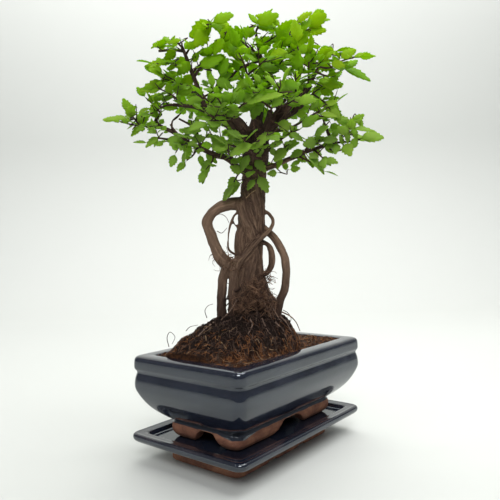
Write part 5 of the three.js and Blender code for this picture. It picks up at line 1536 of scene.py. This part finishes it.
def hang_leaves(waiting, bearers, crown):
    """Each leaf gets a thin stalk from the nearest wood, which may be a stalk hung before it."""
    wood, sprays = bearers
    stops = [seen(point) for point in wood]
    stalks = []
    while waiting:
        places = np.array(stops)
        gaps = []
        for leaf, (low, high) in waiting:
            beyond = np.clip(low - places[:, 2], 0, None) + np.clip(places[:, 2] - high, 0, None)
            apart = (places[:, 0] - leaf[0]) ** 2 + (places[:, 1] - leaf[1]) ** 2 + beyond**2
            gaps.append((apart.min(), int(apart.argmin())))
        nearest = min(range(len(waiting)), key=lambda i: gaps[i][0])
        leaf, (low, high) = waiting.pop(nearest)
        host = gaps[nearest][1]
        plan = Plan(None, 0, sprays[host], SMALL_LEAVES, STALK_RADIUS)
        plan.number = STALK_OWNER
        level = min(max(stops[host][2], low), high)
        for step in LEVEL_STEPS:
            pose = seen_pose(plan, leaf, level + step)
            if crown.has_room(pose, SEEN_CLEARANCE):
                break
        crown.add(pose)
        reach = np.linalg.norm(pose.origin - wood[host])
        knee = pose.origin - pose.forward * min(3.0, reach / 3)
        plan.curve = Curve([wood[host], knee, pose.origin])
        stalks.append(plan)
        for share in (0.5, 0.8):
            wood.append(plan.curve.at(share))
            stops.append(seen(wood[-1]))
            sprays.append(plan.spray)
    return stalks


def bare_spots(crown):
    """Small leaves for the places where the crown is seen bare."""
    covered = [seen(pose.point(share * pose.length, 0.0))[:2]
               for pose in crown.leaves for share in (0.3, 0.6, 0.9)]
    covered = np.array(covered)
    found = []
    columns = range(-BARE_COLUMNS, BARE_COLUMNS + 1)
    for column, row, attempt in product(columns, range(BARE_ROWS), range(BARE_TRIES)):
        draws = [chance(column + BARE_COLUMNS, row, 900 + 10 * attempt + use) for use in range(6)]
        turn, length = draws[2] * 2 * math.pi, 7 + 4 * draws[3]
        across = (column + draws[0] - 0.5) * BARE_STEP
        base = np.array([across, BARE_LOWEST + (row + draws[1]) * BARE_STEP])
        tip = base + np.array([math.cos(turn), math.sin(turn)]) * length
        middle = (base + tip) / 2
        ends = [place((*spot, 0)) for spot in (base, middle, tip)]
        inside = all(is_free(end, CROWN_GAPS + SMALL_GAPS + WOOD_WINDOWS) for end in ends)
        if inside and np.hypot(*(covered - middle).T).min() > BARE_REACH:
            found.append((*base, *tip, 0.35 + 0.35 * draws[4], crown_tone_and_painted_light(ends[1], draws[5])))
            covered = np.vstack([covered, base, middle, tip])
    return found


def fill_crown(plans, twigs, crown):
    """The solid tree's leaves, those that stand out in the view, and then the small ones between."""
    for plan in plans:
        for leaf in range(plan.leaves):
            if leaf == plan.leaves - 1 or (leaf % 2 == 1 and leaf < plan.leaves - 2):
                crown.add(solid_leaf(plan, leaf, crown))
    bearers = leaf_bearers(plans)
    waiting = [(leaf, reach) for reach, leaves in SEEN_LEAVES.items() for leaf in leaves]
    stalks = hang_leaves(waiting, bearers, crown)
    for plan in plans:
        for leaf in range(plan.leaves):
            if leaf % 2 == 0 or leaf == plan.leaves - 2:
                crown.add(small_leaf(plan, leaf, crown, 0.35))
    for twig in twigs:
        for leaf in range(twig.leaves):
            crown.add(small_leaf(twig, leaf, crown, 0.15))
    waiting = [(leaf, (-20, 15)) for leaf in bare_spots(crown)]
    return stalks + hang_leaves(waiting, bearers, crown)


LEAF_STEPS = 10
BLADE_HALF_WIDTH = 0.275
BLADE_THICKNESS = 0.022
BLADE_DROOP = 0.07
TOOTH_LEAN = 0.035


def leaf_template():
    """A toothed blade one unit long on a thin stalk, folded along its midrib."""
    bm = bmesh.new()
    uv = bm.loops.layers.uv.new("leaf")
    bmesh.ops.create_grid(bm, x_segments=LEAF_STEPS, y_segments=2, size=0.5)
    for face in bm.faces:
        for loop in face.loops:
            loop[uv].uv = (loop.vert.co.x + 0.5, loop.vert.co.y + 0.5)
    for vert in bm.verts:
        u, v = vert.co.x + 0.5, vert.co.y * 2
        step = round(u * LEAF_STEPS)
        half = BLADE_HALF_WIDTH * math.sin(math.pi * u**0.8) ** 0.85 if 0 < u < 1 else 0.0
        tooth = 1.0 if step % 2 else -1.0
        reach = half * (1 + LEAF_TOOTH * tooth)
        forward = TOOTH_LEAN * tooth if abs(v) > 0.5 and 0 < u < 1 else 0.0
        x = STALK_SHARE + (1 - STALK_SHARE) * (u + forward)
        y = v * reach
        vert.co = (x, y, LEAF_FOLD * abs(y) - BLADE_DROOP * (x - 0.4) ** 2)
    bmesh.ops.remove_doubles(bm, verts=bm.verts, dist=1e-4)
    bmesh.ops.solidify(bm, geom=bm.faces[:], thickness=BLADE_THICKNESS)
    stalk_length = STALK_SHARE + 0.03
    lying = Matrix.Translation((stalk_length / 2, 0, -0.008)) @ Matrix.Rotation(math.pi / 2, 4, "Y")
    bmesh.ops.create_cone(
        bm, cap_ends=True, segments=3, radius1=0.024, radius2=0.016, depth=stalk_length, matrix=lying,
    )
    bmesh.ops.recalc_face_normals(bm, faces=bm.faces)
    mesh = bm_to_mesh(bm, "leaf")
    mesh.polygons.foreach_set("material_index", [1] * len(mesh.polygons))
    return mesh


def shoot_strand(plan):
    count = plan.curve.spans * STOP_STEPS
    return [(plan.curve.at(i / count), plan.radius * (1 - 0.5 * i / count)) for i in range(count + 1)]


def leaf_matrix(pose):
    """The size, turn and place of a leaf, from those of the blade one unit long."""
    wider = pose.width / (LEAF_WIDTH_SHARE * pose.length)
    columns = [pose.forward, pose.across * wider, pose.normal]
    turn = Matrix([[columns[c][r] * pose.length * MM for c in range(3)] for r in range(3)])
    return Matrix.Translation(to_frame(pose.origin)) @ turn.to_4x4()


def make_sprays():
    """One piece for each spray: its shoots, side twigs and stalks, and their leaves."""
    plans = shoot_plans()
    twigs = side_twigs(plans)
    for number, plan in enumerate(plans + twigs):
        plan.number = number
    crown = Crown(wood_samples(plans))
    stalks = fill_crown(plans, twigs, crown)
    template = leaf_template()
    solid_sprays = {plan.spray for plan in plans}
    stems = plans + stalks + twigs
    for spray in dict.fromkeys(plan.spray for plan in stems):
        strands = [shoot_strand(plan) for plan in stems if plan.spray == spray]
        bm = bmesh.new()
        bm.from_mesh(tubes(strands, "twigs", 6))
        tones_and_painted_light = [0.5] * len(bm.verts)
        for pose in crown.leaves:
            if pose.plan.spray != spray:
                continue
            before = len(bm.verts)
            bm.from_mesh(template)
            bm.verts.ensure_lookup_table()
            made = bm.verts[before:]
            bmesh.ops.transform(bm, matrix=leaf_matrix(pose), verts=made)
            tones_and_painted_light += [pose.tone] * len(made)
        bmesh.ops.recalc_face_normals(bm, faces=bm.faces)
        mesh = bm_to_mesh(bm, "leaves_" + spray)
        # Each leaf's tone, with its painted light and shade, for the leaf material
        attribute = mesh.attributes.new("tone", "FLOAT", "POINT")
        attribute.data.foreach_set("value", tones_and_painted_light)
        replaced = ["spray_" + spray] if spray in solid_sprays else []
        add_piece("leaves_" + spray, mesh, [TWIG, LEAF], replaced)


# Fine roots and fibres

CRUMBS = 1500
STRAND_OUT = 12.0

# Thin roots that spring from the foot of the trunk
TANGLE_ROOTS = 460
TANGLE_LOW = 93
TANGLE_RANGE = 30
TANGLE_REACH = 12


def on_mound(x, y):
    return np.array([x, y, soil_height(x, y)])


def fibre(number, x, y, length, radius, lift, set_):
    """A curled strand that lies on the soil."""
    limit_x, limit_y = hollow(0.4)
    turn = chance(number, 1, 500 + set_) * 2 * math.pi
    bend = (chance(number, 2, 500 + set_) - 0.5) * 1.3
    steps = 6
    strand = []
    for i in range(steps + 1):
        share = i / steps
        px = max(-limit_x, min(limit_x, x))
        py = max(-limit_y, min(limit_y, y))
        rise = lift * math.sin(math.pi * share) * (0.3 + 1.2 * chance(number, 3, 500 + set_))
        strand.append((on_mound(px, py) + UP * (0.1 + rise), radius * (1 - 0.4 * share)))
        x += math.cos(turn) * length / steps
        y += math.sin(turn) * length / steps
        turn += bend / steps * 2 + (chance(number, 4 + i, 500 + set_) - 0.5) * 0.9
    return strand


def scatter(count, set_, length, radius, lift, edge_power):
    """Fibres all over the soil. The higher the edge power, the more they keep off the mound."""
    strands = []
    half_x, half_y = hollow(1)
    number = 0
    while len(strands) < count:
        number += 1
        x = (chance(number, 11, set_) * 2 - 1) * half_x
        y = (chance(number, 12, set_) * 2 - 1) * half_y
        share = 1 - mound_rise(x, y) / MOUND_RISE
        if chance(number, 13, set_) < share**edge_power:
            size = length * (0.5 + chance(number, 14, set_))
            thick = radius * (0.6 + 0.8 * chance(number, 15, set_))
            strands.append(fibre(number, x, y, size, thick, lift, set_))
    return strands


def add_strands(name, strands, sides, finish):
    add_piece(name, tubes(strands, name, sides), [finish])


def make_fibres():
    """Coir towards the rim, a few pale fibres, and dark ones all over the soil."""
    coir = scatter(count=1300, set_=21, length=5.5, radius=0.16, lift=0.7, edge_power=2.4)
    pale = scatter(count=70, set_=22, length=7.0, radius=0.14, lift=1.6, edge_power=1.2)
    dark = scatter(count=1500, set_=23, length=6.0, radius=0.22, lift=1.0, edge_power=0.3)
    pale += [seen_strand(route, 0.32) for route in PALE_ROOTS]
    add_strands("coir_fibres", coir, 4, COIR)
    add_strands("pale_fibres", pale, 4, PALE_FIBRE)
    add_strands("dark_fibres", dark, 4, ROOT_HAIR)


def make_crumbs():
    """Small clods that lie loose on the soil."""
    bm = bmesh.new()
    half_x, half_y = hollow(1.5)
    for number in range(CRUMBS):
        draws = [chance(number, use, 71) for use in range(8)]
        x, y = (draws[0] * 2 - 1) * half_x, (draws[1] * 2 - 1) * half_y
        size = 0.4 + 1.3 * draws[2] ** 3
        place_ = Matrix.Translation(to_frame(on_mound(x, y) + UP * size * 0.25))
        turn = Matrix.Rotation(draws[3] * 6, 4, (draws[4], draws[5], 0.3))
        squash = Matrix.Diagonal((1, 0.6 + 0.5 * draws[6], 0.5 + 0.5 * draws[7], 1))
        bmesh.ops.create_icosphere(bm, subdivisions=1, radius=size * MM, matrix=place_ @ turn @ squash)
    add_piece("crumbs", bm_to_mesh(bm, "crumbs"), [SOIL])


def wandering_root(number, start, heading, length, thick, sag):
    """A thin root that droops, wavers and comes to lie along the mound."""
    steps = 12
    point, way = start, heading
    strand = []
    for i in range(steps + 1):
        strand.append((point, thick * (1 - 0.5 * i / steps)))
        waver = np.array(noise.noise_vector(Vector(point * 0.16) + Vector((0, 0, number * 3.7))))
        way = unit(way + waver * 0.9 - UP * sag)
        point = point + way * length / steps
        ground = soil_height(point[0], point[1]) + thick * 0.4
        if point[2] < ground and i > 1:
            point[2] = ground
            way = way + UP * 0.35
    return strand


# Single thin roots that stand out in the view, as (across, up) from end to end
THIN_ROOTS = [
    [(-33.8, 94.1), (-35.2, 99.3), (-32.9, 103), (-29.1, 104.4)],
    [(-62.4, 73.4), (-63.7, 80.1), (-61.4, 84.4), (-57.8, 80.7), (-60.1, 75.5)],
    [(-57.2, 74), (-51.2, 79.8), (-45.9, 83.3)],
    [(-49.6, 84.9), (-46.5, 87.8), (-40.6, 89.1)],
    [(22.5, 98.7), (26.1, 96.4), (28.3, 92.6), (27.4, 88.9)],
    [(7.5, 119.7), (11.2, 118.9), (13.5, 121.8), (16.5, 123.9)],
    [(11.6, 107.8), (15.4, 110.7), (19.1, 109.1)],
    [(-26.8, 168.7), (-22.3, 170.8), (-18, 168.4), (-15.8, 163.9)],
    [(-24.9, 158.2), (-21.2, 156.7), (-17.4, 160.3)],
]
DROOPING_ROOTS = [
    [(7.2, 109.4), (10, 101.9), (14.2, 92.9)],
    [(11.6, 106.3), (16.6, 97.3), (20.8, 89.8)],
    [(1.3, 106.6), (3.3, 99.1), (2.3, 90.3)],
    [(-5.4, 105.2), (-6.4, 97.9), (-9.5, 92)],
    [(-11.3, 106.9), (-16.7, 98.9), (-23.5, 92.4)],
    [(21.7, 97.2), (27.6, 94.1), (31.9, 89.5), (34.7, 82.8)],
    [(20.2, 94.3), (24.5, 89.7), (28.1, 83)],
    [(-2, 93.3), (-0.7, 87.4), (-3.8, 81.5)],
    [(6.8, 93.1), (9.6, 85.6), (13.9, 79.6)],
    [(4.5, 116.8), (7.2, 109.4), (4.8, 102)],
    [(10.4, 118.2), (13.2, 112.2), (18.3, 106.1)],
    [(-28.7, 91), (-34.7, 86.7), (-40.8, 80.9)],
    [(16.4, 89.9), (22.2, 83.9), (24.9, 76.4)],
]
PALE_ROOTS = [
    [(-27.5, 78.4), (-23.2, 75.4), (-19.6, 70.1), (-18.2, 64.9)],
    [(6.3, 72.4), (15.1, 69.3), (25.6, 72.7)],
    [(-2.8, 182.1), (1, 185.7), (4.7, 187.9)],
    [(-37, 83.1), (-34.9, 79.4), (-35.8, 74.2)],
    [(7.7, 68), (12.1, 64.9), (14.9, 61.2)],
]

# Knots of short fibres on the roots: (across, up, out, spread, strands)
FIBRE_KNOTS = [
    (-16, 134, 9, 6, 90), (-24, 140, 7, 4, 30), (10, 124, 6, 5, 50),
    (3, 114, 16, 9, 200), (-7, 104, 17, 7, 120), (9, 103, 15, 8, 120),
]


def seen_strand(route, radius):
    """A thin root along its seen route, laid on the mound's near side where it meets it."""
    strand = []
    curve = Curve([np.array([across, up, 0.0]) for across, up in route])
    for i in range(13):
        across, up, _ = curve.at(i / 12)
        out = 60.0
        while out > STRAND_OUT and over_soil(place((across, up, out))) > radius:
            out -= 1.0
        strand.append((place((across, up, out)), radius * (1 - 0.04 * i)))
    return strand


def over_soil(point):
    return point[2] - soil_height(point[0], point[1])


def make_fine_roots():
    """Thin roots that tangle over the mound, thicker ones that droop, and tufts of fibre."""
    strands = [seen_strand(route, 0.3) for route in THIN_ROOTS]
    for number in range(TANGLE_ROOTS):
        draws = [chance(number, use, 31) for use in range(7)]
        angle = draws[0] * 2 * math.pi
        height = TANGLE_LOW + TANGLE_RANGE * draws[1] ** 1.7
        outward = np.array([math.cos(angle), math.sin(angle), 0.0])
        reach = TANGLE_REACH - (height - TANGLE_LOW) * 0.14 + 3 * draws[2] * (1 - draws[1])
        start = place((-3, height, 0)) + outward * reach * np.array([1.1, 0.9, 0])
        heading = outward * (0.1 + 0.5 * draws[3]) - UP
        thick = 0.22 + 0.6 * draws[6] ** 2.5
        strands.append(wandering_root(number, start, heading, 10 + 16 * draws[5], thick, 0.3))
    add_strands("fine_roots", strands, 5, ROOT_HAIR)
    drooping = [seen_strand(route, 0.6) for route in DROOPING_ROOTS]
    add_strands("drooping_roots", drooping, 6, LIGHT_ROOT)
    tufts = []
    for knot, (across, up, out, spread, count) in enumerate(FIBRE_KNOTS):
        for number in range(count):
            draws = [chance(number, use, 81 + knot) for use in range(7)]
            way = np.array(draws[:3]) - 0.5
            heading = np.array(draws[3:6]) - 0.5
            start = place((across, up, out)) + way * spread * 1.6
            tufts.append(wandering_root(number + knot * 100, start, heading, 5 + 5 * draws[6], 0.24, 0.06))
    add_strands("root_tufts", tufts, 4, TUFT)


def make_screens():
    for side in ("left", "right"):
        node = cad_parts["drain_screen_" + side]
        node.data.materials.clear()
        node.data.materials.append(SCREEN)


make_pot()
make_saucer()
make_soil()
make_wood()
make_sprays()
make_fibres()
make_crumbs()
make_fine_roots()
make_screens()


# Stage, light and camera

# The floor and the wall behind it, in metres
FLOOR_FRONT = -1.0
FLOOR_BACK = 0.75
BEND_RADIUS = 0.5
BEND_STEPS = 12
WALL_TOP = 3.0
HALF_SPAN = 3.0
SWEEP_COLOUR = (0.62, 0.635, 0.605, 1.0)

AMBIENT_COLOUR = (0.93, 0.95, 1.0, 1.0)
AMBIENT_STRENGTH = 0.22

# Lamps: name, place and aim (across, up, out), length and width in metres, power
LAMPS = [
    ("overhead", (230, 920, 30), (0, 100, 0), (0.7, 0.7), 6.8),
    ("front_box", (0, 1100, 1300), (0, 150, 0), (0.7, 0.4), 13),
    ("left_box", (-600, 520, 480), (0, 150, 0), (0.12, 0.08), 0.5),
    ("wall_box", (0, 2200, -500), (0, 1900, -1250), (2.0, 0.5), 68),
]

# The camera, with its focal length in the units of the picture's width
CAMERA_PLACE = (-307.28, -243.40, 142.23)
CAMERA_RISE = math.radians(-0.2)
CAMERA_ROLL = math.radians(-1.4)
SENSOR_WIDTH = 36
FOCAL_LENGTH = 530
PICTURE_WIDTH = 500


def make_sweep():
    """A floor that curves up into a wall behind the tree."""
    bm = bmesh.new()
    profile = [(FLOOR_FRONT, 0.0), (FLOOR_BACK, 0.0)]
    for i in range(1, BEND_STEPS + 1):
        angle = math.radians(90 * i / BEND_STEPS)
        back = FLOOR_BACK + BEND_RADIUS * math.sin(angle)
        profile.append((back, BEND_RADIUS - BEND_RADIUS * math.cos(angle)))
    profile.append((FLOOR_BACK + BEND_RADIUS, WALL_TOP))
    verts = [bm.verts.new((-HALF_SPAN, y, z)) for y, z in profile]
    edges = [bm.edges.new(pair) for pair in zip(verts, verts[1:])]
    far_side = new_verts(bmesh.ops.extrude_edge_only(bm, edges=edges))
    bmesh.ops.translate(bm, vec=(2 * HALF_SPAN, 0, 0), verts=far_side)
    bmesh.ops.rotate(bm, matrix=Matrix.Rotation(FRONT_TURN, 3, "Z"), verts=bm.verts)
    mesh = bm_to_mesh(bm, "sweep")
    s = Shader("sweep")
    mesh.materials.append(s.finish(s.skin({"Base Color": SWEEP_COLOUR, "Roughness": 0.8})))
    mesh.polygons.foreach_set("use_smooth", [True] * len(mesh.polygons))
    sweep = linked("sweep", mesh)


def stand(across, up, out):
    return to_frame(RIGHT * across + TOWARD * out + UP * up)


def area_light(name, place_, target, size, power):
    data = bpy.data.lights.new(name, "AREA")
    data.shape = "RECTANGLE"
    data.size, data.size_y = size
    data.energy = power
    lamp = linked(name, data)
    lamp.location = stand(*place_)
    aim = stand(*target) - lamp.location
    lamp.rotation_euler = aim.to_track_quat("-Z", "Y").to_euler()


def make_light():
    """A dim room all round, and four soft lamps."""
    world = bpy.data.worlds.new("studio")
    world.use_nodes = True
    backdrop = world.node_tree.nodes["Background"].inputs
    backdrop["Color"].default_value = AMBIENT_COLOUR
    backdrop["Strength"].default_value = AMBIENT_STRENGTH
    bpy.context.scene.world = world
    for lamp in LAMPS:
        area_light(*lamp)


def make_camera():
    """The view from the pot's near corner, level with the middle of the trunk."""
    level = Vector(RIGHT)
    back = Vector(TOWARD * math.cos(CAMERA_RISE) + UP * math.sin(CAMERA_RISE))
    upright = back.cross(level)
    right = level * math.cos(CAMERA_ROLL) + upright * math.sin(CAMERA_ROLL)
    up = upright * math.cos(CAMERA_ROLL) - level * math.sin(CAMERA_ROLL)
    data = bpy.data.cameras.new("camera")
    data.sensor_width = SENSOR_WIDTH
    data.lens = SENSOR_WIDTH * FOCAL_LENGTH / PICTURE_WIDTH
    camera = linked("camera", data)
    turn = Matrix((right, up, back)).transposed().to_4x4()
    camera.matrix_world = Matrix.Translation(to_frame(CAMERA_PLACE)) @ turn
    bpy.context.scene.camera = camera


make_sweep()
make_light()
make_camera()
bpy.context.scene.view_settings.view_transform = "Standard"
